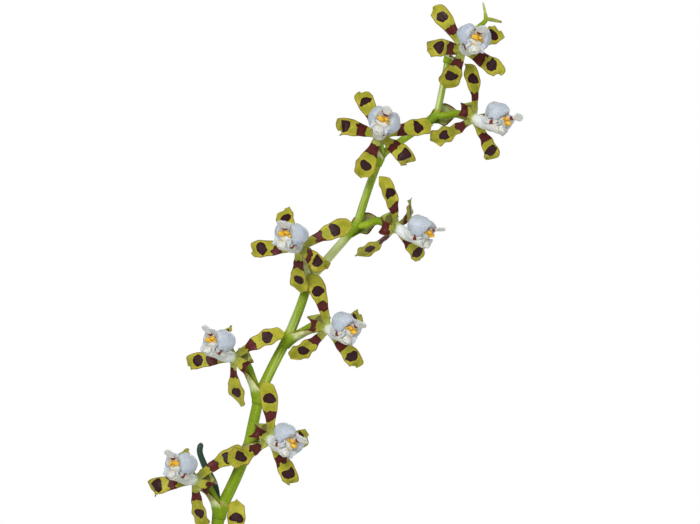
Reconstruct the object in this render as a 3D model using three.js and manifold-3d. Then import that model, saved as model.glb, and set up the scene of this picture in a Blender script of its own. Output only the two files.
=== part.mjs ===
// A potted orchid in flower: a clay pot of bark, a creeping rhizome with roots, three pseudobulbs with strap leaves,
// and one tall spray whose zigzag stem carries twelve barred blooms with white hooded lips.
// Millimetres, +Z up, -Y to the front. The origin is the middle of the pot's foot.

import * as THREE from "three";
import { mergeVertices } from "three/addons/utils/BufferGeometryUtils.js";
import Module from "manifold-3d";

const wasm = await Module();
wasm.setup();

// Driving dimensions
const GAP = 0.3; // left between pieces that touch
const LEAF_THICKNESS = 1.0;
const TEPAL_THICKNESS = 0.7;
const POT = { height: 95, footRadius: 39, bodyRadius: 50, rimRadius: 55, rimDepth: 15, wall: 4.5, base: 6 };
const BARK = { top: 85, chips: 13, chipSize: [17, 12, 7], reach: 35, seed: 11 };
const BULBS = [
  { name: "pseudobulb_1", foot: [-37, 13, 87], height: 44, halfWidth: 12, halfDepth: 7.5, turn: 24 },
  { name: "pseudobulb_2", foot: [-13, 7, 87], height: 58, halfWidth: 14, halfDepth: 8.5, turn: 14 },
  { name: "pseudobulb_3", foot: [15, 3, 87], height: 62, halfWidth: 14.5, halfDepth: 9, turn: 6 },
];
// Leaves: heading anticlockwise from +X, climb above the horizon at the foot and at the tip, all in degrees.
const LEAVES = [
  { name: "leaf_1", bulb: 0, heading: 160, climb: [66, -42], length: 165, halfWidth: 11 },
  { name: "leaf_2a", bulb: 1, heading: 195, climb: [74, -40], length: 205, halfWidth: 13 },
  { name: "leaf_2b", bulb: 1, heading: 64, climb: [78, -22], length: 190, halfWidth: 12 },
  { name: "leaf_3a", bulb: 2, heading: -74, climb: [62, -52], length: 205, halfWidth: 13 },
  { name: "leaf_3b", bulb: 2, heading: 52, climb: [76, -12], length: 180, halfWidth: 12 },
];
const BASAL_LEAVES = [
  { name: "basal_leaf_1", foot: [-31, 1, 82.5], heading: 246, climb: [55, -30], length: 118, halfWidth: 8.5 },
  { name: "basal_leaf_2", foot: [11, -9, 82.5], heading: -76, climb: [60, -36], length: 125, halfWidth: 9 },
  { name: "basal_leaf_3", foot: [20, 16, 82.5], heading: 58, climb: [66, -26], length: 132, halfWidth: 9 },
];
const SHOOT = {
  foot: [35.5, -2, 87],
  blades: [
    { heading: 8, climb: [74, 10], length: 86, halfWidth: 6 },
    { heading: -168, climb: [88, 60], length: 62, halfWidth: 5 },
    { heading: -30, climb: [52, -22], length: 58, halfWidth: 5 },
  ],
};
const RHIZOME = { radius: 4.2, through: [[-42, 14.5, 86], [-37, 13, 85], [-13, 7, 84], [15, 3, 84], [36, -2, 85]] };
const ROOT_RADIUS = 1.7;
const ROOTS = [
  [[24, 1, 85], [33, -11, 90], [44, -18, 98], [53, -21, 99.2], [57.5, -23, 92], [56.5, -22, 76], [53, -21, 60]],
  [[-40, 14, 86], [-45, 8, 91], [-50.5, 0, 98.4], [-57.2, -5, 97.8], [-60, -6, 86], [-57, -9, 72]],
  [[2, 5, 84], [-3, -14, 89], [-9, -25, 88], [-12, -31, 83], [-12, -33, 74]],
  [[22, 1, 84], [29, 14, 88.5], [30, 26, 87], [27, 32, 80], [25, 33, 72]],
  [[-20, 8, 84], [-24, 20, 89], [-18, 31, 87], [-12, 35, 80], [-10, 36, 72]],
];

// The spray. The bare stem goes up to the lowest flower stalk, and the flowering stem then zigzags.
const PEDUNCLE = [[-3, 6, 84.5], [-7, -4, 90], [-14, -10.5, 110], [-18.5, -11, 138], [-15.5, -6, 190], [-6.8, -1, 230], [-3.5, 0, 248.5]];
const STEM_RADIUS = { foot: 2.5, lowestFlower: 2.1, topFlower: 0.95, tip: 0.3 };
const SHEATHS = [0.3, 0.62]; // shares of the bare stem's length
const INTERNODES = [
  { length: 20, lean: 6 },
  { length: 19.5, lean: 22 },
  { length: 19, lean: 13 },
  { length: 19.5, lean: 24 },
  { length: 17, lean: 12 },
  { length: 19, lean: 27 },
  { length: 18, lean: 20 },
  { length: 21.5, lean: 41 },
  { length: 22.5, lean: 19 },
  { length: 20.5, lean: 55 },
  { length: 19.5, lean: 11 },
  { length: 14.5, lean: 50 },
  { length: 5.5, lean: -10 },
];
// Blooms from the lowest up. offset is from the stem's node to the middle of the star. A bloom faces -Y at turn 0 and
// +X at turn 90, tilt lifts its face, and roll turns its lip anticlockwise from upright.
const BLOOMS = [
  { offset: [6, -11.5, 3], turn: -5, tilt: -5, roll: -50 },
  { offset: [-10.5, -3, 8], turn: -50, tilt: 25, roll: 15 },
  { offset: [8.5, -10, 5], turn: 10, tilt: -5, roll: -50 },
  { offset: [-7.5, -4, 8.5], turn: -35, tilt: 20, roll: 5 },
  { offset: [7, -14, 4], turn: 30, tilt: -10, roll: -45 },
  { offset: [-7.5, -4.5, 10.5], turn: -40, tilt: 20, roll: 0 },
  { offset: [11.5, -4.6, 2.5], turn: 35, tilt: -10, roll: -30 },
  { offset: [-2.5, -11, 9.5], turn: -25, tilt: 10, roll: -10 },
  { offset: [11.5, -3, -0.5], turn: 60, tilt: -20, roll: -15 },
  { offset: [-0.5, -12.5, 5], turn: 0, tilt: 10, roll: -25 },
  { offset: [10.5, -4, -1], turn: 50, tilt: -15, roll: -40 },
  { offset: [3.5, -12, -0.5], turn: 15, tilt: 0, roll: -15 },
];
const STALK = { radius: 1.0, ovaryRadius: 1.25, hubBack: 3.2 };
const BRACT = { reach: 0.74, radius: 2.3, wrap: 105, thickness: 0.6 };

// A bloom's own frame: +Z out of the star's face, +Y towards the lip. at is anticlockwise from +X; climb is how far the
// blade leans forward at its foot, halfway and at its tip, in degrees.
const SEPAL_OUTLINE = [[0, 1.3], [0.2, 1.35], [0.38, 1.75], [0.55, 2.4], [0.7, 2.65], [0.86, 2.2], [0.96, 1], [1, 0.4]];
const BACK_OUTLINE = [[0, 1.3], [0.2, 1.4], [0.38, 1.9], [0.55, 2.7], [0.7, 3.05], [0.86, 2.5], [0.96, 1.2], [1, 0.4]];
const PETAL_OUTLINE = [[0, 1.2], [0.2, 1.3], [0.38, 1.7], [0.55, 2.1], [0.7, 2.3], [0.86, 1.7], [0.95, 0.9], [1, 0.3]];
const TEPALS = [
  { at: 42, climb: [2, -18, -52], length: 17.6, outline: SEPAL_OUTLINE, twist: -8 },
  { at: 138, climb: [2, -18, -52], length: 17.6, outline: SEPAL_OUTLINE, twist: 8 },
  { at: -90, climb: [-18, -34, -50], length: 15, outline: BACK_OUTLINE, twist: 5 },
  { at: -19, climb: [32, 30, -22], length: 15.8, outline: PETAL_OUTLINE, twist: 20 },
  { at: 199, climb: [32, 30, -22], length: 15.8, outline: PETAL_OUTLINE, twist: -20 },
];
const HUB_PROFILE = [[0, -3.2], [1.25, -3.2], [2, -0.8], [1.9, 0.5], [1.2, 1.5], [0, 1.5]];
const COLUMN = { from: [0, 0, 1.95], to: [0, -1.4, 10.6], radii: [1.15, 1.45, 1.35, 1.55], capRadius: 1.35 };
// The hood's line over the column: [up, forward], half width, and how far its sides drop.
const HOOD = [
  { up: 0.9, forward: 3.2, halfWidth: 1.2, drop: 0.6 },
  { up: 3.9, forward: 3.9, halfWidth: 3.6, drop: 2.2 },
  { up: 5.9, forward: 6.0, halfWidth: 4.9, drop: 4.6 },
  { up: 5.4, forward: 8.8, halfWidth: 4.5, drop: 4.2 },
  { up: 3.4, forward: 10.8, halfWidth: 2.9, drop: 1.6 },
];
const HOOD_SIDE = [-100, -52, 0, 52, 100]; // degrees round the hood's section
const FRONT_LOBE = { up: [3.2, 4.9, 5.6], forward: [10.3, 13.2, 14.6], halfWidth: [1, 1.7, 0.9] };

const STAKE = { radius: 1.3, through: [[4, -13, 14], [4, -13, 92], [5.6, 4.3, 284], [8.8, 4.4, 302], [8.4, 4.3, 311], [5, 4.2, 319], [4.6, 4.2, 325]] };
const TIE = { at: [4.35, 1.95, 279.8], turn: 60, halfLength: 2.25, innerRadius: 3, wall: 0.9, height: 2.6 };

const vec = (p) => new THREE.Vector3(p[0], p[1], p[2]);
const rad = THREE.MathUtils.degToRad;
const { lerp } = THREE.MathUtils;

// Value of a curve given by [position, value] points.
function along(table, t) {
  const next = Math.max(1, table.findIndex(([at]) => at >= t));
  const [a, b] = [table[next - 1], table[next]];
  return lerp(a[1], b[1], THREE.MathUtils.clamp((t - a[0]) / (b[0] - a[0]), 0, 1));
}

// A repeatable random number from 0 to 1.
function dice(seed) {
  let state = seed;
  return () => {
    state = (state * 1664525 + 1013904223) % 4294967296;
    return state / 4294967296;
  };
}

// Solids from geometry, and back
function solid(geometry) {
  const bare = geometry.clone();
  bare.deleteAttribute("normal");
  bare.deleteAttribute("uv");
  const merged = mergeVertices(bare, 1e-4);
  return new wasm.Manifold(
    new wasm.Mesh({
      numProp: 3,
      vertProperties: merged.attributes.position.array,
      triVerts: new Uint32Array(merged.index.array),
    }),
  );
}

const fuse = (solids) => solids.reduce((whole, piece) => whole.add(piece));
const carve = (whole, pieces) => pieces.reduce((left, piece) => left.subtract(piece), whole);

// The largest body of a solid, without the slivers and crumbs that cutting leaves.
function geometryOf(manifold) {
  const whole = manifold.asOriginal().simplify(0.1).decompose().reduce((a, b) => (b.volume() > a.volume() ? b : a));
  const mesh = whole.getMesh();
  const points = new Float32Array(mesh.numVert * 3);
  for (let i = 0; i < mesh.numVert; i += 1) {
    points.set(mesh.vertProperties.subarray(i * mesh.numProp, i * mesh.numProp + 3), i * 3);
  }
  return new THREE.BufferGeometry()
    .setAttribute("position", new THREE.BufferAttribute(points, 3))
    .setIndex(new THREE.BufferAttribute(new Uint32Array(mesh.triVerts), 1))
    .toNonIndexed();
}

function indexed(points, faces) {
  return new THREE.BufferGeometry()
    .setAttribute("position", new THREE.Float32BufferAttribute(points.flatMap((p) => p.toArray()), 3))
    .setIndex(faces);
}

// A closed skin over rings of equally many points, anticlockwise about the way the rings follow each other.
function loft(rings) {
  const sides = rings[0].length;
  const faces = [];
  for (let i = 0; i + 1 < rings.length; i += 1) {
    for (let k = 0; k < sides; k += 1) {
      const [a, b] = [i * sides + k, i * sides + ((k + 1) % sides)];
      faces.push(a, b, b + sides, a, b + sides, a + sides);
    }
  }
  const last = (rings.length - 1) * sides;
  for (let k = 1; k + 1 < sides; k += 1) {
    faces.push(0, k + 1, k, last, last + k, last + k + 1);
  }
  return indexed(rings.flat(), faces);
}

// A closed sheet with an even thickness over a grid of points. Both faces are split into the same triangles.
function sheet(rows, thickness) {
  const [count, width] = [rows.length, rows[0].length];
  const near = (i, most) => Math.min(Math.max(i, 0), most);
  const faceNormal = (r, c) => {
    const across = rows[r][near(c + 1, width - 1)].clone().sub(rows[r][near(c - 1, width - 1)]);
    const up = rows[near(r + 1, count - 1)][c].clone().sub(rows[near(r - 1, count - 1)][c]);
    return across.cross(up).normalize();
  };
  const lifted = (side) =>
    rows.map((row, r) => row.map((p, c) => p.clone().addScaledVector(faceNormal(r, c), (side * thickness) / 2)));
  const points = [...lifted(1).flat(), ...lifted(-1).flat()];
  const top = (r, c) => r * width + c;
  const under = (r, c) => count * width + top(r, c);
  const faces = [];
  for (let r = 0; r + 1 < count; r += 1) {
    for (let c = 0; c + 1 < width; c += 1) {
      faces.push(top(r, c), top(r, c + 1), top(r + 1, c + 1), top(r, c), top(r + 1, c + 1), top(r + 1, c));
      faces.push(under(r, c), under(r + 1, c + 1), under(r, c + 1), under(r, c), under(r + 1, c), under(r + 1, c + 1));
    }
    const end = width - 1;
    faces.push(top(r, 0), top(r + 1, 0), under(r + 1, 0), top(r, 0), under(r + 1, 0), under(r, 0));
    faces.push(top(r, end), under(r + 1, end), top(r + 1, end), top(r, end), under(r, end), under(r + 1, end));
  }
  for (let c = 0; c + 1 < width; c += 1) {
    const end = count - 1;
    faces.push(top(0, c), under(0, c + 1), top(0, c + 1), top(0, c), under(0, c), under(0, c + 1));
    faces.push(top(end, c), top(end, c + 1), under(end, c + 1), top(end, c), under(end, c + 1), under(end, c));
  }
  return indexed(points, faces);
}

// A round tube through points, each with its own radius. extra swells it all round, ends too.
function tubeThrough(through, radii, sides, extra = 0) {
  const last = through.length - 1;
  const points = through.map((p) => p.clone());
  points[0].addScaledVector(through[0].clone().sub(through[1]).normalize(), extra);
  points[last].addScaledVector(through[last].clone().sub(through[last - 1]).normalize(), extra);
  const side = new THREE.Vector3(1, 0, 0);
  const rings = points.map((p, i) => {
    const forward = points[Math.min(i + 1, last)].clone().sub(points[Math.max(i - 1, 0)]).normalize();
    if (i === 0 && Math.abs(forward.x) > 0.9) side.set(0, 1, 0);
    side.addScaledVector(forward, -side.dot(forward)).normalize();
    const other = forward.clone().cross(side);
    return Array.from({ length: sides }, (_, k) => {
      const angle = (k / sides) * 2 * Math.PI;
      return p
        .clone()
        .addScaledVector(side, Math.cos(angle) * (radii[i] + extra))
        .addScaledVector(other, Math.sin(angle) * (radii[i] + extra));
    });
  });
  return loft(rings);
}

const smoothly = (through, steps) => new THREE.CatmullRomCurve3(through.map(vec), false, "centripetal").getPoints(steps);
const ellipsoid = (at, radii, across = 5, down = 3) =>
  new THREE.SphereGeometry(1, across, down).scale(...radii).translate(...at);

// Pot
function potProfile() {
  const { height, footRadius, bodyRadius, rimRadius, rimDepth, wall, base } = POT;
  return [
    [0, 0],
    [footRadius - 1, 0],
    [footRadius, 1],
    [bodyRadius, height - rimDepth],
    [rimRadius - 1.5, height - rimDepth],
    [rimRadius, height - 1.5],
    [rimRadius - 1.5, height],
    [rimRadius - wall, height],
    [rimRadius - wall - 0.5, height - 2],
    [footRadius - wall, base + 2],
    [footRadius - wall - 3, base],
    [0, base],
  ].map(([r, z]) => new THREE.Vector2(r, z));
}

const POT_SIDES = 24;
const turned = (profile, sides) => new THREE.LatheGeometry(profile, sides).rotateX(Math.PI / 2);
const potGeometry = () => turned(potProfile(), POT_SIDES);

// Inner radius of the pot at a height.
function potInside(z) {
  const { height, footRadius, rimRadius, wall, base } = POT;
  return lerp(footRadius - wall, rimRadius - wall - 0.5, (z - base - 2) / (height - 4 - base));
}

// Bulbs: ridged and a little flattened. extra swells one for the hollow it sits in.
const BULB_PROFILE = [[0, 0.42], [0.13, 0.74], [0.34, 1], [0.56, 0.95], [0.76, 0.74], [0.9, 0.5], [1, 0.38]];
const BULB_RIDGE = 0.05;

function bulbSolid({ foot, height, halfWidth, halfDepth, turn }, extra = 0) {
  const sides = 12;
  const rings = BULB_PROFILE.map(([t, share], row) => {
    const z = t * height + (row === 0 ? -extra : 0);
    return Array.from({ length: sides }, (_, k) => {
      const angle = (k / sides) * 2 * Math.PI;
      const ridge = 1 + BULB_RIDGE * (k % 2 ? 1 : -1);
      return new THREE.Vector3(
        Math.cos(angle) * (share * halfWidth * ridge + extra),
        Math.sin(angle) * (share * halfDepth * ridge + extra),
        z,
      );
    });
  });
  return solid(loft(rings).rotateZ(rad(-turn)).translate(...foot));
}

// A strap leaf: folded at its foot, open above, arching over under its own weight.
const LEAF_OUTLINE = [[0, 0.24], [0.12, 0.44], [0.3, 0.86], [0.52, 1], [0.74, 0.86], [0.9, 0.5], [0.98, 0.16], [1, 0.07]];
const LEAF_ROWS = [0, 0.1, 0.22, 0.34, 0.46, 0.58, 0.7, 0.81, 0.9, 0.96, 1];
const LEAF_FOLD = { foot: 62, open: 16 }; // how steeply each half rises from the midrib, in degrees

function leafRows({ foot, heading, climb, length, halfWidth }) {
  const out = new THREE.Vector3(Math.cos(rad(heading)), Math.sin(rad(heading)), 0);
  const across = new THREE.Vector3(Math.sin(rad(heading)), -Math.cos(rad(heading)), 0);
  const spine = vec(foot);
  const steps = 60;
  const rows = [];
  for (let i = 0; i <= steps; i += 1) {
    const t = i / steps;
    const lift = rad(lerp(climb[0], climb[1], t ** 1.35));
    const forward = out.clone().multiplyScalar(Math.cos(lift)).setZ(Math.sin(lift));
    const row = LEAF_ROWS.findIndex((at) => Math.round(at * steps) === i);
    if (row >= 0) {
      const half = halfWidth * along(LEAF_OUTLINE, LEAF_ROWS[row]);
      const fold = rad(lerp(LEAF_FOLD.foot, LEAF_FOLD.open, Math.min(1, t * 3)));
      const above = across.clone().cross(forward);
      const edge = (side) =>
        spine
          .clone()
          .addScaledVector(across, side * half * Math.cos(fold))
          .addScaledVector(above, half * Math.sin(fold));
      rows.push([edge(-1), spine.clone(), edge(1)]);
    }
    spine.addScaledVector(forward, length / steps);
  }
  return rows;
}

const leafSolid = (leaf) => solid(sheet(leafRows(leaf), LEAF_THICKNESS));

// The hole that a leaf's foot leaves in the bark.
function leafSlot(leaf) {
  const out = vec([Math.cos(rad(leaf.heading)), Math.sin(rad(leaf.heading)), Math.tan(rad(leaf.climb[0]))]);
  const foot = vec(leaf.foot).addScaledVector(out.normalize(), -GAP - 0.2).toArray();
  const wider = { ...leaf, foot, halfWidth: leaf.halfWidth + 3.5 };
  return solid(sheet(leafRows(wider), LEAF_THICKNESS + 4 * GAP + 0.6));
}

function bulbLeafFoot({ bulb, heading }) {
  const { foot, height } = BULBS[bulb];
  const out = 3.4; // leaves that share a bulb stand back to back
  return [
    foot[0] + out * Math.cos(rad(heading)),
    foot[1] + out * Math.sin(rad(heading)),
    foot[2] + height + GAP + LEAF_THICKNESS / 2,
  ];
}

function shootSolid() {
  const [x, y, z] = SHOOT.foot;
  const bulge = solid(ellipsoid([x, y, z + 6], [4.6, 3.6, 8], 8, 5));
  const blades = SHOOT.blades.map((blade) => leafSolid({ ...blade, foot: [x, y, z + 8] }));
  return fuse([bulge, ...blades]);
}

// Rhizome and roots. extra swells them for the holes they lie in.
function rhizomeSolid(extra = 0) {
  const stem = smoothly(RHIZOME.through, 10);
  const stemRadii = stem.map((_, i) => RHIZOME.radius * (i % 2 ? 0.88 : 1.05));
  const roots = ROOTS.map((through) => {
    const path = smoothly(through, 9);
    return solid(tubeThrough(path, path.map((_, i) => (i === 9 ? 0.7 : 1) * ROOT_RADIUS), 5, extra));
  });
  return fuse([solid(tubeThrough(stem, stemRadii, 7, extra)), ...roots]);
}

// Spray
function stemNodes() {
  const at = vec(PEDUNCLE.at(-1));
  return [at.clone(), ...INTERNODES.map(({ length, lean }) => {
    at.add(new THREE.Vector3(Math.sin(rad(lean)), 0, Math.cos(rad(lean))).multiplyScalar(length));
    return at.clone();
  })];
}

const NODES = stemNodes();
const PEDUNCLE_STEPS = 10;

function peduncleSolid(extra = 0) {
  const path = smoothly(PEDUNCLE, PEDUNCLE_STEPS);
  const radii = path.map((_, i) => lerp(STEM_RADIUS.foot, STEM_RADIUS.lowestFlower, i / PEDUNCLE_STEPS));
  return solid(tubeThrough(path, radii, 7, extra));
}

function rachisSolid() {
  const corner = 0.1; // share of an internode that its bend takes at each end
  const path = [NODES[0].clone().sub(new THREE.Vector3(0.4, 0, 2))];
  const radii = [STEM_RADIUS.lowestFlower];
  const flowers = BLOOMS.length - 1;
  for (let i = 0; i + 1 < NODES.length; i += 1) {
    [corner, 1 - corner].forEach((share) => {
      path.push(NODES[i].clone().lerp(NODES[i + 1], share));
      const up = Math.min(1, (i + share) / flowers);
      const beyond = Math.max(0, (i + share - flowers) / 2);
      radii.push(lerp(lerp(STEM_RADIUS.lowestFlower, STEM_RADIUS.topFlower, up), STEM_RADIUS.tip, beyond));
    });
  }
  return solid(tubeThrough(path, radii, 7));
}

function facing({ turn, tilt, roll }) {
  const [t, e, r] = [rad(turn), rad(tilt), rad(roll)];
  const out = new THREE.Vector3(Math.sin(t) * Math.cos(e), -Math.cos(t) * Math.cos(e), Math.sin(e));
  const right = new THREE.Vector3(0, 0, 1).cross(out).normalize();
  const up = out.clone().cross(right);
  const lip = up.multiplyScalar(Math.cos(r)).addScaledVector(right, -Math.sin(r));
  return new THREE.Matrix4().makeBasis(lip.clone().cross(out), lip, out);
}

const bloomCentre = (i) => NODES[i].clone().add(vec(BLOOMS[i].offset));

const behindBloom = (i, distance) =>
  bloomCentre(i).addScaledVector(new THREE.Vector3().setFromMatrixColumn(facing(BLOOMS[i]), 2), -distance);

function stalkCurve(i) {
  const leaving = NODES[i].clone().add(vec(BLOOMS[i].offset).setLength(4.5));
  return new THREE.CubicBezierCurve3(NODES[i], leaving, behindBloom(i, 7.5), behindBloom(i, 5.2));
}

function stalkSolid(i) {
  const steps = 3;
  const path = [...stalkCurve(i).getPoints(steps), behindBloom(i, STALK.hubBack + GAP)];
  return solid(tubeThrough(path, path.map((_, k) => lerp(STALK.radius, STALK.ovaryRadius, k / steps)), 5));
}

// A leafy scale that clasps a stem: rings of a half tube that narrow to a free tip.
function claspingScale(curve, reach, radii, down) {
  const rows = radii.map((radius, i) => {
    const t = (i / (radii.length - 1)) * reach;
    const forward = curve.getTangent(t);
    const under = down.clone().addScaledVector(forward, -down.dot(forward)).normalize();
    const side = forward.clone().cross(under);
    const wrap = BRACT.wrap * lerp(1, 0.6, i / (radii.length - 1));
    return [1, 0.35, -0.35, -1].map((share) => {
      const angle = rad(share * wrap);
      return curve
        .getPoint(t)
        .addScaledVector(under, Math.cos(angle) * radius)
        .addScaledVector(side, Math.sin(angle) * radius);
    });
  });
  return solid(sheet(rows, BRACT.thickness));
}

function bractSolid(i) {
  const down = NODES[i].clone().sub(NODES[i + 1]).normalize();
  const stem = lerp(STEM_RADIUS.lowestFlower, STEM_RADIUS.topFlower, i / BLOOMS.length);
  return claspingScale(stalkCurve(i), BRACT.reach, [stem * 0.7, BRACT.radius, 1.1], down);
}

function sheathSolid(share) {
  const curve = new THREE.CatmullRomCurve3(PEDUNCLE.map(vec), false, "centripetal");
  const from = curve.getPoint(share);
  const to = curve.getPoint(share + 0.14);
  const out = new THREE.Vector3(-1.6, -2.4, 0);
  const line = new THREE.CubicBezierCurve3(from, from.clone().lerp(to, 0.35), from.clone().lerp(to, 0.7), to.add(out));
  return claspingScale(line, 1, [1.9, 3.2, 2.8, 1.0], new THREE.Vector3(-1, -1, 0));
}

// The scale under the stem's spent tip.
function tipScaleSolid() {
  const node = NODES[BLOOMS.length];
  const across = new THREE.Vector3(0, -1, 0.3).normalize();
  const rows = [[-0.6, 0.5], [2.2, 1.3], [4.2, 0.9], [5.8, 0.3]].map(([reach, half], i) => {
    const middle = node.clone().add(new THREE.Vector3(reach, 0, 0.3 - i * 0.15));
    return [1, 0, -1].map((side) =>
      middle.clone().addScaledVector(across, side * half).add(new THREE.Vector3(0, 0, side ? 0.5 : 0)));
  });
  return solid(sheet(rows, BRACT.thickness));
}

function spikeSolid() {
  const stalks = BLOOMS.flatMap((_, i) => [stalkSolid(i), bractSolid(i)]);
  return fuse([peduncleSolid(), rachisSolid(), ...SHEATHS.map(sheathSolid), tipScaleSolid(), ...stalks]);
}

// Blooms, in their own frame
const TEPAL_ROWS = [0.04, 0.24, 0.46, 0.68, 0.88, 1];
const TEPAL_WAVE = 0.35;

function tepalSolid({ at, climb, length, outline, twist }, seed) {
  const roll = dice(seed);
  const heading = rad(at + (roll() - 0.5) * 8);
  const bend = (roll() - 0.5) * 12;
  const out = new THREE.Vector3(Math.cos(heading), Math.sin(heading), 0);
  const level = new THREE.Vector3(Math.sin(heading), -Math.cos(heading), 0);
  const spine = new THREE.Vector3();
  const steps = 50;
  const rows = [];
  for (let i = 0; i <= steps; i += 1) {
    const t = i / steps;
    const lean = t < 0.5 ? lerp(climb[0], climb[1], t * 2) : lerp(climb[1], climb[2] + bend, (t * 2 - 1) ** 1.6);
    const forward = out.clone().multiplyScalar(Math.cos(rad(lean))).setZ(Math.sin(rad(lean)));
    if (TEPAL_ROWS.some((row) => Math.round(row * steps) === i)) {
      const across = level.clone().applyAxisAngle(forward, rad(twist * t));
      const above = across.clone().cross(forward);
      const half = along(outline, t);
      const wave = TEPAL_WAVE * Math.sin(t * 9 + seed) * Math.min(1, t * 2);
      rows.push([-1, 0, 1].map((side) =>
        spine
          .clone()
          .addScaledVector(across, side * half)
          .addScaledVector(above, side ? 0.25 * half * (1 - t) + side * wave : 0)));
    }
    spine.addScaledVector(forward, length / steps);
  }
  return solid(sheet(rows, TEPAL_THICKNESS));
}

function starSolid(bloom) {
  const hub = solid(turned(HUB_PROFILE.map(([r, z]) => new THREE.Vector2(r, z)), 7));
  return fuse([hub, ...TEPALS.map((tepal, k) => tepalSolid(tepal, 7 + bloom * 5 + k))]);
}

function hoodSolid() {
  const rows = HOOD.map(({ up, forward, halfWidth, drop }) =>
    HOOD_SIDE.map((degrees) => {
      const groove = degrees === 0 ? 0.18 * halfWidth : 0;
      return new THREE.Vector3(
        Math.sin(rad(degrees)) * halfWidth,
        up - drop * (1 - Math.cos(rad(degrees))) - groove,
        forward - (Math.abs(degrees) > 90 ? 0.6 : 0),
      );
    }));
  return solid(sheet(rows.toReversed(), 0.8));
}

function frontLobeSolid() {
  const { up, forward, halfWidth } = FRONT_LOBE;
  const rows = up.map((y, i) => [-1, 0, 1].map((side) =>
    new THREE.Vector3(-side * halfWidth[i], y + (side ? 0.35 : 0), forward[i])));
  return solid(sheet(rows, 0.8));
}

function columnSolids() {
  const { from, to, radii, capRadius } = COLUMN;
  const path = radii.map((_, i) => vec(from).lerp(vec(to), i / (radii.length - 1)));
  const wings = [-1, 1].map((side) => {
    const [x, y, z] = [side * 1.9, to[1] + 0.5, to[2] + 0.1];
    return solid(ellipsoid([x, y, z], [1.5, 0.9, 1.1], 4, 2));
  });
  return [
    solid(tubeThrough(path, radii, 6)),
    solid(ellipsoid([to[0], to[1] - 0.2, to[2] + 0.7], [capRadius, capRadius, 1.5])),
    ...wings,
  ];
}

function callusSolids() {
  return [-1, 1].map((side) => solid(ellipsoid([side * 0.95, 2.5, 10.5], [0.9, 1, 1.6], 5, 2)));
}

const lipSolid = () => fuse([hoodSolid(), frontLobeSolid(), ...columnSolids(), ...callusSolids()]);

// Stake and tie
function stakeSolid(extra = 0) {
  const path = smoothly(STAKE.through, 14);
  const radii = path.map((_, i) => (i === 14 ? 0.6 : 1) * STAKE.radius);
  return solid(tubeThrough(path, radii, 7, extra));
}

function stadium(Kind, half, radius) {
  return new Kind()
    .moveTo(-half, -radius)
    .lineTo(half, -radius)
    .absarc(half, 0, radius, -Math.PI / 2, Math.PI / 2, false)
    .lineTo(-half, radius)
    .absarc(-half, 0, radius, Math.PI / 2, (Math.PI * 3) / 2, false);
}

function tieGeometry() {
  const { at, turn, halfLength, innerRadius, wall, height } = TIE;
  const band = stadium(THREE.Shape, halfLength, innerRadius + wall);
  band.holes.push(stadium(THREE.Path, halfLength, innerRadius));
  return new THREE.ExtrudeGeometry(band, { depth: height, bevelEnabled: false, curveSegments: 6 })
    .translate(0, 0, -height / 2)
    .rotateZ(rad(turn))
    .translate(...at);
}

// Bark: a bed that fills the pot, heaped with chips, with holes for what stands in it.
function barkSolid() {
  const profile = [[0, POT.base + GAP], [28, POT.base + GAP], [potInside(14) - 0.5, 14], [potInside(BARK.top) - 0.5, BARK.top], [0, BARK.top + 1]];
  const bed = solid(turned(profile.map(([r, z]) => new THREE.Vector2(r, z)), POT_SIDES));
  const roll = dice(BARK.seed);
  const chips = Array.from({ length: BARK.chips }, (_, i) => {
    const size = BARK.chipSize.map((s) => s * (0.7 + 0.6 * roll()));
    const reach = BARK.reach * Math.sqrt((i + 0.5) / BARK.chips);
    const angle = i * 2.4 + roll() * 0.5; // the golden angle spreads them evenly
    return solid(
      new THREE.BoxGeometry(...size)
        .rotateX((roll() - 0.5) * 0.9)
        .rotateY((roll() - 0.5) * 0.9)
        .rotateZ(roll() * Math.PI)
        .translate(reach * Math.cos(angle), reach * Math.sin(angle), BARK.top + 0.6 + roll() * 1.6),
    );
  });
  const holes = [
    rhizomeSolid(GAP + 0.2),
    peduncleSolid(GAP + 0.2),
    stakeSolid(GAP + 0.2),
    ...BULBS.map((bulb) => bulbSolid(bulb, GAP + 0.2)),
    ...BASAL_LEAVES.map(leafSlot),
    solid(ellipsoid([SHOOT.foot[0], SHOOT.foot[1], SHOOT.foot[2] + 6], [5.2, 4.2, 8.6], 8, 5)),
  ];
  return carve(fuse([bed, ...chips]), holes);
}

function rhizomeInPlace() {
  const seats = [...BULBS.map((bulb) => bulbSolid(bulb, GAP)), peduncleSolid(GAP + 0.1)];
  const shootSeat = solid(ellipsoid([SHOOT.foot[0], SHOOT.foot[1], SHOOT.foot[2] + 6], [5.1, 4.1, 8.5], 8, 5));
  return carve(rhizomeSolid(), [...seats, shootSeat]);
}

const COLOURS = {
  clay: { color: 0xb2643c, roughness: 0.85 },
  bark: { color: 0x4b3222, roughness: 0.95 },
  root: { color: 0xc9c6ae, roughness: 0.7 },
  bulb: { color: 0x7f9a3a, roughness: 0.5 },
  leaf: { color: 0x4d7a2a, roughness: 0.45 },
  stem: { color: 0x86a92c, roughness: 0.45 },
  tepal: { color: 0xb5ab2b, roughness: 0.5 },
  lip: { color: 0xd9dbe6, roughness: 0.5 },
  stake: { color: 0x1d3a2c, roughness: 0.4 },
  tie: { color: 0x6d7f52, roughness: 0.8 },
};

const plant = new THREE.Group();

function place(name, geometry, finish, parent = plant) {
  const mesh = new THREE.Mesh(geometry, new THREE.MeshStandardMaterial({ metalness: 0, ...COLOURS[finish] }));
  mesh.name = name;
  parent.add(mesh);
  return mesh;
}

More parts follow.
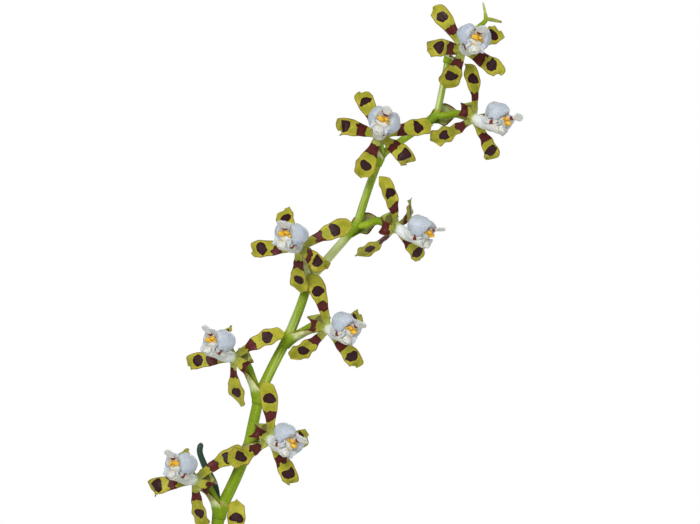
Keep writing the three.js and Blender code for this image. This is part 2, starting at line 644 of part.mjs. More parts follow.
place("pot", potGeometry(), "clay");
place("potting_bark", geometryOf(barkSolid()), "bark");
place("rhizome_roots", geometryOf(rhizomeInPlace()), "root");
BULBS.forEach((bulb) => place(bulb.name, geometryOf(bulbSolid(bulb)), "bulb"));
LEAVES.forEach((leaf) => place(leaf.name, geometryOf(leafSolid({ ...leaf, foot: bulbLeafFoot(leaf) })), "leaf"));
BASAL_LEAVES.forEach((leaf) => place(leaf.name, geometryOf(leafSolid(leaf)), "leaf"));
place("new_shoot", geometryOf(shootSolid()), "leaf");
place("spike", geometryOf(spikeSolid()), "stem");
place("stake", geometryOf(stakeSolid()), "stake");
place("stem_tie", tieGeometry(), "tie");

const lip = geometryOf(lipSolid());
BLOOMS.forEach((bloom, i) => {
  const frame = new THREE.Group();
  frame.setRotationFromMatrix(facing(bloom));
  frame.position.copy(bloomCentre(i));
  plant.add(frame);
  const number = String(i + 1).padStart(2, "0");
  place(`bloom_${number}_tepals`, geometryOf(starSolid(i)), "tepal", frame);
  place(`bloom_${number}_lip`, lip, "lip", frame);
});

export default plant;
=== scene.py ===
"""A potted orchid in flower, dressed for its looks.

Lengths are millimetres until a mesh is made. Angles are degrees, but radians round a ring of knots.
"""

import logging
from bisect import bisect_right
from collections.abc import Callable, Sequence
from dataclasses import dataclass, field, replace
from enum import Enum
from itertools import accumulate
from math import copysign, cos, exp, hypot, pi, radians, sin, sqrt
from typing import TypeVar

import bpy
from mathutils import Matrix, Vector, noise


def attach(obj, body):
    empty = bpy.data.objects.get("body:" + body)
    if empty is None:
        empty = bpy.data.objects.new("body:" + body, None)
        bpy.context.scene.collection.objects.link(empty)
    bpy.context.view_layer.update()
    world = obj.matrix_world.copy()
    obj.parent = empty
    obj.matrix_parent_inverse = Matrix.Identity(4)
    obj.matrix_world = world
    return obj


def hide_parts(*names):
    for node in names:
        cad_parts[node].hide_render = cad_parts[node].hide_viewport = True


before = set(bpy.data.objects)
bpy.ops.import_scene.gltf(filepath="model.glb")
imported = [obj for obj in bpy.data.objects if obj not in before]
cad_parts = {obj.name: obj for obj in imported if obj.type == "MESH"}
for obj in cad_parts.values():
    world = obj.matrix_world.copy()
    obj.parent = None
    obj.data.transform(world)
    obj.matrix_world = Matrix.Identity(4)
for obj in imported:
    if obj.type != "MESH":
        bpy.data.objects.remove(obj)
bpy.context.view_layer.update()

log = logging.getLogger("orchid")

MM = 0.001
UP = Vector((0, 0, 1))
FULL_TURN = 2 * pi
Pair = tuple[float, float]
Table = Sequence[Pair]
Rgb = tuple[int, int, int]
Point3 = tuple[float, float, float]
Node = bpy.types.Node
Tree = bpy.types.NodeTree
Socket = bpy.types.NodeSocket
Quantity = TypeVar("Quantity", float, Vector)


# Shapes


def lerp(a: float, b: float, t: float) -> float:
    """The value t of the way from a to b."""
    return a + (b - a) * t


def ease(x: float, start: float, end: float) -> float:
    """0 at start, 1 at end, and a soft rise between them."""
    t = min(1.0, max(0.0, (x - start) / (end - start)))
    return t * t * (3 - 2 * t)


def bell(x: float, middle: float, spread: float) -> float:
    """A bell of height 1 round the middle."""
    return exp(-(((x - middle) / spread) ** 2))


def glide(start: Quantity, leaving: Quantity, end: Quantity, arriving: Quantity, u: float) -> Quantity:
    """The value at u on the way from start to end, with a set slope at each."""
    rise = 3 * u**2 - 2 * u**3
    return start * (1 - rise) + leaving * (u**3 - 2 * u**2 + u) + end * rise + arriving * (u**3 - u**2)


def level(table: Table, t: float) -> float:
    """Reads a smooth line through points, which never overshoots them.

    Args:
        table: (position, value) points in rising order.
        t: The position to read.

    Returns:
        The value there, or the nearest end's value outside the table.
    """
    i = max(0, min(len(table) - 2, bisect_right([p for p, _ in table], t) - 1))
    slopes = [(b[1] - a[1]) / (b[0] - a[0]) for a, b in zip(table, table[1:])]

    def tangent(k: int) -> float:
        """Slope of the smooth line at one of the points."""
        before, after = slopes[max(0, k - 1)], slopes[min(k, len(slopes) - 1)]
        return 0.0 if before * after <= 0 else 2 * before * after / (before + after)

    (start, low), (end, high) = table[i], table[i + 1]
    width = end - start
    u = min(1.0, max(0.0, (t - start) / width))
    return glide(low, width * tangent(i), high, width * tangent(i + 1), u)


def compass(heading: float, lift: float = 0.0) -> Vector:
    """The direction of a heading, anticlockwise from +X, at a height above the horizon."""
    h, e = radians(heading), radians(lift)
    return Vector((cos(h) * cos(e), sin(h) * cos(e), sin(e)))


def turn_about(axis: Vector | str, degrees: float) -> Matrix:
    """A turn about a direction or a named axis."""
    return Matrix.Rotation(radians(degrees), 3, axis)


def reaches(path: Sequence[Vector]) -> list[float]:
    """How far along a path each of its points is."""
    return [0.0, *accumulate((b - a).length for a, b in zip(path, path[1:]))]


@dataclass
class Dice:
    """Repeatable random numbers from 0 to 1."""

    state: int

    def __call__(self) -> float:
        """The next number."""
        self.state = (self.state * 1664525 + 1013904223) % 2**32
        return self.state / 2**32

    def spread(self, amount: float) -> float:
        """A number from -amount to amount."""
        return (self() * 2 - 1) * amount


@dataclass(frozen=True)
class Bend:
    """A smooth curve through points."""

    through: Sequence[Point3]

    def point(self, t: float) -> Vector:
        """A point of the curve.

        Args:
            t: From 0 at the first point to 1 at the last.

        Returns:
            The point.
        """
        points = [Vector(p) for p in self.through]
        points = [points[0] * 2 - points[1], *points, points[-1] * 2 - points[-2]]
        reach = t * (len(points) - 3)
        i = max(0, min(len(points) - 4, int(reach)))
        a, b, c, d = points[i : i + 4]
        before, across, after = (max(1e-4, (q - p).length) ** 0.5 for p, q in ((a, b), (b, c), (c, d)))
        out = ((b - a) / before - (c - a) / (before + across) + (c - b) / across) * across
        into = ((c - b) / across - (d - b) / (across + after) + (d - c) / after) * across
        return glide(b, out, c, into, reach - i)

    def points(self, steps: int) -> list[Vector]:
        """Points along the curve, both ends included."""
        return [self.point(i / steps) for i in range(steps + 1)]


@dataclass(frozen=True)
class Bow:
    """A curve that leaves one point and reaches another in set directions."""

    start: Vector
    leaving: Vector
    arriving: Vector
    end: Vector

    def point(self, t: float) -> Vector:
        """The point at t, from 0 to 1."""
        u, drawn = 1 - t, self.leaving * (1 - t) + self.arriving * t
        return self.start * u**3 + drawn * (3 * u * t) + self.end * t**3

    def heading(self, t: float) -> Vector:
        """The direction of travel at t."""
        return (self.point(min(1, t + 0.01)) - self.point(max(0, t - 0.01))).normalized()


@dataclass
class Knot:
    """One point of a mesh in the making, with what its finish reads there."""

    at: Vector
    thick: float = 0.5
    place: Sequence[float] | None = None  # where on its own blade or stem; its own point if that isn't said
    marks: Point3 = (0, 0, 0)  # masks and places that the finish gives a meaning
    under: int = 0  # 1 on a blade's lower face

    def __post_init__(self) -> None:
        """Fills in the place."""
        if self.place is None:
            self.place = self.at.copy()


Rows = list[list[Knot]]
Lengthwise = Callable[[float, float], float]  # a number from the length along a tube and the angle round it


def columns(half: int) -> list[float]:
    """Places across a blade, from -1 at one edge to 1 at the other."""
    return [k / half for k in range(-half, half + 1)]


def grid(steps: int, half_columns: int, knot: Callable[[float, float], Knot]) -> Rows:
    """Rows of knots over a blade.

    Args:
        steps: Rows after the first one.
        half_columns: Columns each side of the middle one.
        knot: Gives the knot at a share of the length (0 to 1) and of the half width (-1 to 1).

    Returns:
        The rows, from foot to tip.
    """
    return [[knot(i / steps, s) for s in columns(half_columns)] for i in range(steps + 1)]


def grown(
    start: Vector, way: Callable[[float], Vector], length: float, steps: int, sunk: float = 0.0
) -> list[tuple[float, Vector, Vector]]:
    """Follows a blade's middle line from its foot.

    Args:
        start: Where the line starts.
        way: The direction at a share of the length.
        length: The length.
        steps: Steps in which the line grows.
        sunk: Length below the foot.

    Returns:
        The share of the length, the point and the direction, at every other step.
    """
    at, line = start, []
    for i in range(-2 if sunk else 0, steps + 1):
        t = max(0.0, i / steps)
        if i % 2 == 0:
            line.append((t, at, way(t)))
        at = at + way(t) * (sunk / 2 if i < 0 else length / steps)
    return line


def carried_frames(path: Sequence[Vector]) -> list[tuple[Vector, Vector]]:
    """Two directions across a path at each of its points, without a twist.

    Args:
        path: The points.

    Returns:
        A (side, other side) pair for each point.
    """
    last = len(path) - 1
    side = Vector((1, 0, 0)) if abs((path[1] - path[0]).normalized().x) < 0.9 else Vector((0, 1, 0))
    frames = []
    for i in range(len(path)):
        forward = (path[min(i + 1, last)] - path[max(i - 1, 0)]).normalized()
        side = (side - forward * side.dot(forward)).normalized()
        frames.append((side.copy(), forward.cross(side)))
    return frames


def tube(
    path: Sequence[Vector],
    radius: Lengthwise,
    sides: int,
    marks: Callable[[float, float], Point3] = lambda reach, angle: (0, 0, 0),
    offset: float = 0.0,
) -> Rows:
    """Rings of knots round a path.

    Args:
        path: The tube's middle line.
        radius: The radius at a length along the path and an angle.
        sides: Points in a ring.
        marks: The finish's masks at a length along the path and an angle.
        offset: Added to the length along the path that the finish reads.

    Returns:
        One row of knots for each point of the path.
    """
    rows = []
    for reach, middle, (side, other) in zip(reaches(path), path, carried_frames(path)):
        row = []
        for angle in (FULL_TURN * k / sides for k in range(sides)):
            r = radius(reach, angle)
            x, y = cos(angle) * r, sin(angle) * r
            at = middle + side * x + other * y
            row.append(Knot(at, place=(x, y, reach + offset), marks=marks(reach, angle)))
        rows.append(row)
    return rows


def turned(profile: Table, sides: int, wobble: float = 0.0, marks: Point3 = (0, 0, 0)) -> Rows:
    """Rings of knots round the Z axis.

    Args:
        profile: (radius, height) points.
        sides: Points in a ring.
        wobble: How far the turned wall wanders.
        marks: The finish's masks.

    Returns:
        One row of knots for each point of the profile.
    """
    rows = []
    for r, z in profile:
        row = []
        for away in (compass(360 * k / sides) for k in range(sides)):
            wander = wobble * noise.noise(away * 1.5 + UP * (z * 0.02))
            row.append(Knot(away * max(0.2, r + wander) + UP * z, marks=marks))
        rows.append(row)
    return rows


def egg(
    middle: Point3,
    radii: Point3,
    around: int = 20,
    down: int = 14,
    rough: float = 0.0,
    marks: Callable[[Vector], Point3] = lambda at: (0, 0, 0),
) -> Rows:
    """Rings of knots over an egg shape, from its -Z end to its +Z end.

    Args:
        middle: Its centre.
        radii: Its three radii.
        around: Points in a ring.
        down: Rings.
        rough: Height of its lumps, as a share of its radii.
        marks: The finish's masks at a point.

    Returns:
        The rings. The end ones stay a little open.
    """
    rows = []
    for i in range(down + 1):
        row = []
        for k in range(around):
            way = compass(360 * k / around, 176.4 * (i / down - 0.5))
            way *= 1 + rough * noise.noise(way * 2.3 + Vector(middle))
            at = Vector(middle) + Vector([w * r for w, r in zip(way, radii)])
            row.append(Knot(at, marks=marks(at)))
        rows.append(row)
    return rows


class Ends(Enum):
    """What becomes of the first and last ring of a skin."""

    COVERED = "covered"
    OPEN = "open"
    JOINED = "joined"


class Slot(Enum):
    """The record's material slots."""

    CLAY = "clay"
    BARK = "bark"
    ROOT = "root"
    BULB = "pseudobulb"
    LEAF = "leaf"
    STEM = "stem"
    TEPAL = "tepal"
    LIP = "lip"
    STAKE = "stake"
    TIE = "tie"


def placed(name: str, data: bpy.types.ID) -> bpy.types.Object:
    """Puts a mesh, a light or a camera in the scene, at the origin.

    Args:
        name: Its name.
        data: What it shows.

    Returns:
        The object.
    """
    made = bpy.data.objects.new(name, data)
    bpy.context.scene.collection.objects.link(made)
    return made


@dataclass
class Draft:
    """A mesh in the making: its knots, its faces, and which finish each face wears."""

    knots: list[Knot] = field(default_factory=list)
    faces: list[tuple[int, ...]] = field(default_factory=list)
    dressing: list[int] = field(default_factory=list)

    def add(self, knots: Sequence[Knot], faces: Sequence[tuple[int, ...]], finish: int) -> None:
        """Adds knots and the faces on them.

        Args:
            knots: The knots.
            faces: The faces, which count these knots from 0.
            finish: Which of the piece's finishes they wear.
        """
        first = len(self.knots)
        self.knots.extend(knots)
        self.faces.extend(tuple(first + i for i in face) for face in faces)
        self.dressing.extend([finish] * len(faces))

    def skin(self, rings: Rows, ends: Ends = Ends.COVERED) -> None:
        """Adds a skin over rings of equally many knots.

        Args:
            rings: The rings, anticlockwise about the way they follow each other.
            ends: What becomes of the first and last ring.
        """
        sides, count = len(rings[0]), len(rings)
        faces = []
        for i in range(count if ends is Ends.JOINED else count - 1):
            here, there = i * sides, (i + 1) % count * sides
            for k in range(sides):
                beside = (k + 1) % sides
                faces.append((here + k, here + beside, there + beside, there + k))
        if ends is Ends.COVERED:
            last = (count - 1) * sides
            faces += [tuple(reversed(range(sides))), tuple(range(last, last + sides))]
        self.add([knot for ring in rings for knot in ring], faces, 0)

    def sheet(self, rows: Rows, finish: int = 0) -> None:
        """Adds a closed blade, as thick at each knot as the knot says.

        Args:
            rows: The blade's middle surface. Its upper face looks along its rows crossed with its columns.
            finish: Which of the piece's finishes it wears.
        """
        count, width = len(rows), len(rows[0])
        knots = []
        for under in (0, 1):
            for r, row in enumerate(rows):
                for c, knot in enumerate(row):
                    across = row[min(c + 1, width - 1)].at - row[max(c - 1, 0)].at
                    ahead = rows[min(r + 1, count - 1)][c].at - rows[max(r - 1, 0)][c].at
                    off = across.cross(ahead).normalized() * (knot.thick * (0.5 - under))
                    knots.append(replace(knot, at=knot.at + off, under=under))
        back = count * width
        top = [[r * width + c for c in range(width)] for r in range(count)]
        faces = []
        for low, high in zip(top, top[1:]):
            for quad in zip(low, low[1:], high[1:], high):
                faces += [quad, tuple(i + back for i in reversed(quad))]
        rim = top[0] + [row[-1] for row in top[1:]] + top[-1][-2::-1] + [row[0] for row in top[-2:0:-1]]
        faces += [(b, a, a + back, b + back) for a, b in zip(rim, rim[1:] + rim[:1])]
        self.add(knots, faces, finish)

    def seat(
        self, name: str, node: str, *finishes: "Finish", place: Matrix | None = None, smooth: bool = True
    ) -> None:
        """Makes the mesh in the shared frame, in metres.

        Args:
            name: The piece's name.
            node: The frame's node that it stands for.
            *finishes: What its faces wear.
            place: Where the knots go in the shared frame.
            smooth: Whether faces are shaded smoothly.
        """
        mesh = bpy.data.meshes.new(name)
        where = place or Matrix.Identity(4)
        mesh.from_pydata([(where @ knot.at) * MM for knot in self.knots], [], self.faces)
        for key, kind, held, values in (
            ("place", "FLOAT_VECTOR", "vector", [v for knot in self.knots for v in knot.place]),
            ("marks", "FLOAT_VECTOR", "vector", [v for knot in self.knots for v in knot.marks]),
            ("under", "FLOAT", "value", [knot.under for knot in self.knots]),
        ):
            mesh.attributes.new(key, kind, "POINT").data.foreach_set(held, values)
        mesh.polygons.foreach_set("material_index", self.dressing)
        mesh.polygons.foreach_set("use_smooth", [smooth] * len(self.faces))
        for finish in finishes:
            mesh.materials.append(finish.material())
        mesh.validate()
        piece = placed(name, mesh)
        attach(piece, "root")
        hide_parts(node)
        log.info("%s: %d faces, for %s", name, len(mesh.polygons), node)


# Finishes


def pigment(rgb: Rgb) -> tuple[float, float, float, float]:
    """A colour as the shader wants it, from its everyday 0 to 255 values."""
    linear = [(c / 255 / 12.92) if c <= 10 else ((c / 255 + 0.055) / 1.055) ** 2.4 for c in rgb]
    return (*linear, 1.0)


@dataclass
class Bench:
    """Adds nodes to one shader tree and joins them."""

    tree: Tree

    def feed(self, socket: Socket, value: object) -> None:
        """Joins a socket to another, or sets its value.

        Args:
            socket: The input.
            value: An output socket, a colour, a vector or a number.
        """
        if isinstance(value, bpy.types.NodeSocket):
            self.tree.links.new(value, socket)
        else:
            socket.default_value = value

    def node(self, kind: str, given: dict | Sequence = (), **settings: object) -> Node:
        """Adds a node.

        Args:
            kind: The kind of node.
            given: What goes into its inputs, by name or in order.
            **settings: The node's own settings.

        Returns:
            The node.
        """
        made = self.tree.nodes.new(kind)
        for key, value in settings.items():
            setattr(made, key, value)
        for key, value in given.items() if isinstance(given, dict) else enumerate(given):
            self.feed(made.inputs[key], value)
        return made

    def math(self, operation: str, *values: object, clamp: bool = False) -> Socket:
        """One step of arithmetic on numbers or sockets."""
        return self.node("ShaderNodeMath", values, operation=operation, use_clamp=clamp).outputs[0]

    def times(self, one: object, other: object) -> Socket:
        """One number times another."""
        return self.math("MULTIPLY", one, other)

    def weigh(self, *parts: tuple[Socket, float], plus: object = 0.0) -> Socket:
        """Adds up numbers, each times its weight.

        Args:
            *parts: (number, weight) pairs.
            plus: What the sum starts from.

        Returns:
            The sum.
        """
        for value, weight in parts:
            plus = self.math("MULTIPLY_ADD", value, weight, plus)
        return plus

    def split(self, vector: Socket) -> list[Socket]:
        """The three numbers of a vector."""
        return list(self.node("ShaderNodeSeparateXYZ", [vector]).outputs)

    def stretch(self, vector: Socket, scale: Point3) -> Socket:
        """A vector multiplied axis by axis."""
        return self.node("ShaderNodeVectorMath", [vector, scale], operation="MULTIPLY").outputs[0]

    def ramp(self, value: object, start: float, end: float, low: float = 0.0, high: float = 1.0) -> Socket:
        """A soft rise of a number from low at start to high at end."""
        given = (value, start, end, low, high)
        return self.node("ShaderNodeMapRange", given, interpolation_type="SMOOTHSTEP").outputs[0]

    def clouds(self, vector: Socket, scale: object, detail: float = 2.0, rough: float = 0.5) -> Socket:
        """Noise from 0 to 1 over a vector."""
        given = {"Vector": vector, "Scale": scale, "Detail": detail, "Roughness": rough}
        return self.node("ShaderNodeTexNoise", given).outputs[0]

    def blend(self, share: object, base: object, over: object) -> Socket:
        """A colour laid over another by a mask; colours are sockets or everyday values."""
        ends = {6 + i: pigment(c) if isinstance(c, tuple) else c for i, c in enumerate((base, over))}
        return self.node("ShaderNodeMix", {0: share, **ends}, data_type="RGBA", clamp_factor=True).outputs[2]


def new_group(name: str, inputs: dict[str, float], outputs: Sequence[str]) -> tuple[Bench, dict, dict]:
    """Starts a node group whose first input takes the coordinates.

    Args:
        name: The group's name.
        inputs: Its other inputs' names, with their usual values.
        outputs: The names of its number outputs.

    Returns:
        A bench on the group, and its inputs and outputs by name.
    """
    tree = bpy.data.node_groups.new(name, "ShaderNodeTree")
    new_socket, number = tree.interface.new_socket, "NodeSocketFloat"
    new_socket(name="Coordinates", in_out="INPUT", socket_type="NodeSocketVector")
    for label, usual in inputs.items():
        new_socket(name=label, in_out="INPUT", socket_type=number).default_value = usual
    for label in outputs:
        new_socket(name=label, in_out="OUTPUT", socket_type=number)
    bench = Bench(tree)
    return bench, bench.node("NodeGroupInput").outputs, bench.node("NodeGroupOutput").inputs


def mottled_tone() -> Tree:
    """Broad patches and smaller flecks of another tone.

    Returns:
        The group. Patches is the broad mask and Flecks the small one.
    """
    inputs = {"Patches per unit": 0.3, "Contrast": 2.0}
    bench, given, made = new_group("mottled_tone", inputs, ["Patches", "Flecks"])
    for label, factor, detail in (("Patches", 1.0, 3.0), ("Flecks", 6.0, 4.0)):
        cloud = bench.clouds(given["Coordinates"], bench.times(given["Patches per unit"], factor), detail)
        centred = bench.math("SUBTRACT", cloud, 0.5)
        bench.feed(made[label], bench.math("MULTIPLY_ADD", centred, given["Contrast"], 0.5, clamp=True))
    return bench.tree


def lengthwise_veins() -> Tree:
    """Fine veins that run along a blade or a stem, whose length is the coordinates' Z.

    Returns:
        The group. Height is for relief and Lines is a mask of the veins.
    """
    inputs = {"Veins per unit": 1.2, "Straightness": 0.04}
    bench, given, made = new_group("lengthwise_veins", inputs, ["Height", "Lines"])
    across, depth, length = bench.split(given["Coordinates"])
    drawn_out = (across, depth, bench.times(length, given["Straightness"]))
    vector = bench.node("ShaderNodeCombineXYZ", drawn_out).outputs[0]
    cloud = bench.clouds(vector, given["Veins per unit"], 3.0)
    ridge = bench.math("ABSOLUTE", bench.math("MULTIPLY_ADD", cloud, 2.0, -1.0))
    bench.feed(made["Height"], cloud)
    bench.feed(made["Lines"], bench.ramp(ridge, 0.16, 0.0))
    return bench.tree


def skin_grain() -> Tree:
    """Small pores and swellings of a skin, a fired surface or a foam.

    Returns:
        The group. Height is for relief and Pores is a mask of the hollows.
    """
    bench, given, made = new_group("skin_grain", {"Pores per unit": 3.0}, ["Height", "Pores"])
    size = {"Vector": given["Coordinates"], "Scale": given["Pores per unit"]}
    cells = bench.node("ShaderNodeTexVoronoi", size, feature="SMOOTH_F1").outputs[0]
    cloud = bench.clouds(size["Vector"], size["Scale"], 5.0)
    bench.feed(made["Height"], bench.math("MULTIPLY_ADD", cells, 0.6, cloud))
    bench.feed(made["Pores"], bench.ramp(cells, 0.22, 0.05))
    return bench.tree


def settled_dust() -> Tree:
    """Dust and dried water that settle on what faces up.

    Returns:
        The group. Mask says where the dust lies.
    """
    bench, given, made = new_group("settled_dust", {"Patches per unit": 0.2, "Amount": 0.5}, ["Mask"])
    facing_up = bench.split(bench.node("ShaderNodeNewGeometry").outputs["Normal"])[2]
    patches = bench.ramp(bench.clouds(given["Coordinates"], given["Patches per unit"], 5.0), 0.42, 0.7)
    settled = bench.times(bench.ramp(facing_up, -0.2, 0.9), patches)
    bench.feed(made["Mask"], bench.math("MULTIPLY", settled, given["Amount"], clamp=True))
    return bench.tree


class Effect(Enum):
    """Effects that finishes share, each a node group that is made once."""

    MOTTLE = "mottled_tone"
    VEINS = "lengthwise_veins"
    GRAIN = "skin_grain"
    DUST = "settled_dust"

    def group(self) -> Tree:
        """The effect's node group."""
        return bpy.data.node_groups.get(self.value) or SHARED[self]()


SHARED: dict[Effect, Callable[[], Tree]] = {
    Effect.MOTTLE: mottled_tone,
    Effect.VEINS: lengthwise_veins,
    Effect.GRAIN: skin_grain,
    Effect.DUST: settled_dust,
}


@dataclass
class Coat(Bench):
    """A material in the making: its shader and the colour laid on so far."""

    shader: Node
    colour: object

    def __post_init__(self) -> None:
        """Reads where each point is on its own blade or stem."""
        self.place = self.node("ShaderNodeAttribute", attribute_name="place").outputs["Vector"]

    def marks(self) -> list[Socket]:
        """The three masks or places that the mesh holds for this finish."""
        return self.split(self.node("ShaderNodeAttribute", attribute_name="marks").outputs["Vector"])

    def under(self) -> Socket:
        """1 on the lower face of a blade."""
        return self.node("ShaderNodeAttribute", attribute_name="under").outputs["Fac"]

    def effect(self, shared: Effect, **given: float) -> Sequence[Socket]:
        """Places a shared effect; its inputs are named with _ for each space."""
        values = {"Coordinates": self.place, **{key.replace("_", " "): value for key, value in given.items()}}
        return self.node("ShaderNodeGroup", values, node_tree=shared.group()).outputs

    def mottle(self, patches: float, contrast: float) -> Sequence[Socket]:
        """Masks of broad patches and of small flecks."""
        return self.effect(Effect.MOTTLE, Patches_per_unit=patches, Contrast=contrast)

    def veins(self, veins: float, straightness: float = 0.04) -> Sequence[Socket]:
        """The height of lengthwise veins, and a mask of them."""
        return self.effect(Effect.VEINS, Veins_per_unit=veins, Straightness=straightness)

    def grain(self, pores: float) -> Sequence[Socket]:
        """The height of a skin's grain, and a mask of its pores."""
        return self.effect(Effect.GRAIN, Pores_per_unit=pores)

    def dust(self, patches: float, amount: float) -> Socket:
        """A mask of the dust."""
        return self.effect(Effect.DUST, Patches_per_unit=patches, Amount=amount)[0]

    def ragged(self, mask: Socket, flecks: Socket, amount: float) -> Socket:
        """A mask whose outline flecks break up."""
        return self.weigh((flecks, amount), (mask, 1), plus=-amount / 2)

    def lay(self, mask: Socket, colour: object, share: float = 1.0) -> None:
        """Lays a colour over what is there, by a share of a mask."""
        self.colour = self.blend(mask if share == 1 else self.times(mask, share), self.colour, colour)

    def roughen(self, mask: Socket, change: float) -> None:
        """Makes the surface rougher, or smoother below 0, where a mask is."""
        socket = self.shader.inputs["Roughness"]
        self.feed(socket, self.weigh((mask, change), plus=socket.default_value))

    def relief(self, depth: float, *heights: tuple[Socket, float]) -> None:
        """Joins a relief to the shader's normal.

        Args:
            depth: How deep a height of 1 is, in millimetres.
            *heights: (height, weight) pairs that add up.
        """
        bump = self.node("ShaderNodeBump", {"Distance": depth * MM, "Height": self.weigh(*heights)})
        self.feed(self.shader.inputs["Normal"], bump.outputs[0])


@dataclass(frozen=True)
class Finish:
    """A surface: its name, slot and gloss, and how it is coloured."""

    name: str
    slot: Slot
    gloss: float = 0.5  # the shader's roughness where the finish doesn't vary it
    glow: float = 0.0  # how much light goes into it and comes out again
    shine: float = 0.5  # the shader's specular level
    ground: Rgb = (128, 128, 128)

    def material(self) -> bpy.types.Material:
        """Makes the finish's material, or finds the one already made.

        Returns:
            The material.
        """
        made = bpy.data.materials.get(self.name)
        if made:
            return made
        made = bpy.data.materials.new(self.name)
        made.use_nodes = True
        shader = made.node_tree.nodes["Principled BSDF"]
        shader.inputs["Roughness"].default_value = self.gloss
        shader.inputs["Specular IOR Level"].default_value = self.shine
        if self.glow:
            shader.inputs["Subsurface Weight"].default_value = self.glow
            shader.inputs["Subsurface Radius"].default_value = (1.0, 0.8, 0.3)
            shader.inputs["Subsurface Scale"].default_value = 0.0008
        coat = Coat(made.node_tree, shader, self.ground)
        self.dress(coat)
        coat.feed(shader.inputs["Base Color"], coat.colour)
        return made

    def dress(self, coat: Coat) -> None:
        """Lays on the finish's own colours and relief."""
        raise NotImplementedError


@dataclass(frozen=True)
class TepalFinish(Finish):
    """Waxy yellow-green blade with a maroon band, a dark spot, and a dark olive rim that is partly painted
    edge shade.

    Marks hold the band's place, the spot's place and how near the margin is.
    """

    ground: Rgb = (178, 174, 56)
    deep: Rgb = (132, 135, 26)
    warm: Rgb = (188, 168, 54)
    foot: Rgb = (184, 194, 106)
    # Dark olive rim: partly the blade's own darker margin, partly painted shade along its edge.
    rim: Rgb = (106, 106, 48)
    back: Rgb = (158, 172, 84)
    band: Rgb = (88, 31, 28)
    band_edge: Rgb = (58, 20, 18)
    spot: Rgb = (52, 25, 29)
    spot_edge: Rgb = (38, 17, 17)
    band_half: float = 1.4
    spot_half: Pair = (2.0, 1.55)

    def dress(self, coat: Coat) -> None:
        """Paints the blade and its marks.

        Args:
            coat: The material so far.
        """
        across, _, length = coat.split(coat.place)
        band_at, spot_at, margin = coat.marks()
        under = coat.under()

        # The outline of both marks wanders by about a millimetre.
        slow, quick = coat.clouds(coat.place, 0.5, 1.0), coat.clouds(coat.place, 1.5)
        wander = coat.weigh((slow, 3.0), (quick, 0.8), plus=-1.9)
        from_band = coat.weigh((length, 1), (band_at, -1), (wander, 1))
        past_band = coat.math("SUBTRACT", coat.math("ABSOLUTE", from_band), self.band_half)
        in_band = coat.ramp(past_band, 0.1, -0.1)
        up_spot = coat.weigh((length, 1), (spot_at, -1), (coat.times(across, across), 0.12))
        squares = (
            coat.math("POWER", coat.math("DIVIDE", off, half), 2.0)
            for off, half in zip((across, up_spot), self.spot_half)
        )
        from_spot = coat.weigh((wander, 0.3), plus=coat.math("SQRT", coat.math("ADD", *squares)))
        in_spot = coat.ramp(from_spot, 1.05, 0.93)

        patches, _ = coat.mottle(0.28, 2.4)
        ribs, lines = coat.veins(1.1)
        coat.lay(patches, self.deep)
        coat.lay(lines, self.deep, 0.3)
        coat.lay(coat.ramp(margin, 0.45, 0.95), self.warm, 0.5)
        coat.lay(coat.ramp(from_spot, 1.3, 1.02), self.warm, 0.5)
        coat.lay(coat.ramp(length, 4.2, 0.8), self.foot)
        # Dark olive rim: partly the blade's own darker margin, partly painted shade along its edge.
        coat.lay(coat.ramp(margin, 0.82, 0.97), self.rim, 0.75)
        coat.lay(under, self.back, 0.75)
        shown = coat.weigh((under, -0.35), plus=1.0)
        band = coat.blend(coat.ramp(past_band, -0.8, 0.0), self.band, self.band_edge)
        coat.lay(coat.times(in_band, shown), band)
        spot = coat.blend(coat.ramp(from_spot, 0.55, 1.0), self.spot, self.spot_edge)
        coat.lay(coat.times(in_spot, shown), spot)
        coat.roughen(coat.math("MAXIMUM", in_band, in_spot), -0.08)
        coat.relief(0.16, (ribs, 2.0), (coat.grain(4.0)[0], 0.3))


@dataclass(frozen=True)
class LipFinish(Finish):
    """Waxy white, with lavender-grey patches and veins, and painted shade of the same lavender-grey on the
    lower faces of its sheets.

    Marks are masks: yellow, cream and red-brown stain.
    """

    ground: Rgb = (195, 203, 209)
    # Lavender-grey: the lip's own patches and veins, and the painted shade on its lower faces.
    shade: Rgb = (156, 166, 181)
    cream: Rgb = (216, 214, 194)
    ridge: Rgb = (210, 144, 38)
    ridge_light: Rgb = (236, 198, 46)
    stain: Rgb = (104, 34, 20)
    blush: Rgb = (206, 160, 168)
    white: Rgb = (226, 230, 226)
    neck: Rgb = (206, 212, 168)

    def dress(self, coat: Coat) -> None:
        """Paints the lip and the column.

        Args:
            coat: The material so far.
        """
        forward = coat.split(coat.place)[2]
        ridge, cream, stain = coat.marks()
        patches, flecks = coat.mottle(0.3, 2.5)
        ribs, lines = coat.veins(0.9, 0.25)
        coat.lay(patches, self.shade, 0.6)
        coat.lay(lines, self.shade, 0.2)
        # Painted shade: the lower face of every sheet is darkened with the lavender-grey.
        coat.lay(coat.under(), self.shade, 0.4)
        coat.lay(cream, self.cream)
        coat.lay(coat.ramp(forward, 6.2, 4.2), self.white, 0.85)
        coat.lay(coat.ramp(forward, 2.2, 0.2), self.neck)
        stained = coat.ragged(stain, flecks, 0.5)
        coat.lay(coat.ramp(stained, 0.12, 0.5), self.blush, 0.55)
        coat.lay(coat.ramp(stained, 0.42, 0.62), self.stain)
        coat.lay(ridge, coat.blend(flecks, self.ridge, self.ridge_light))
        coat.relief(0.1, (ribs, 1.2), (coat.grain(3.5)[0], 0.4))


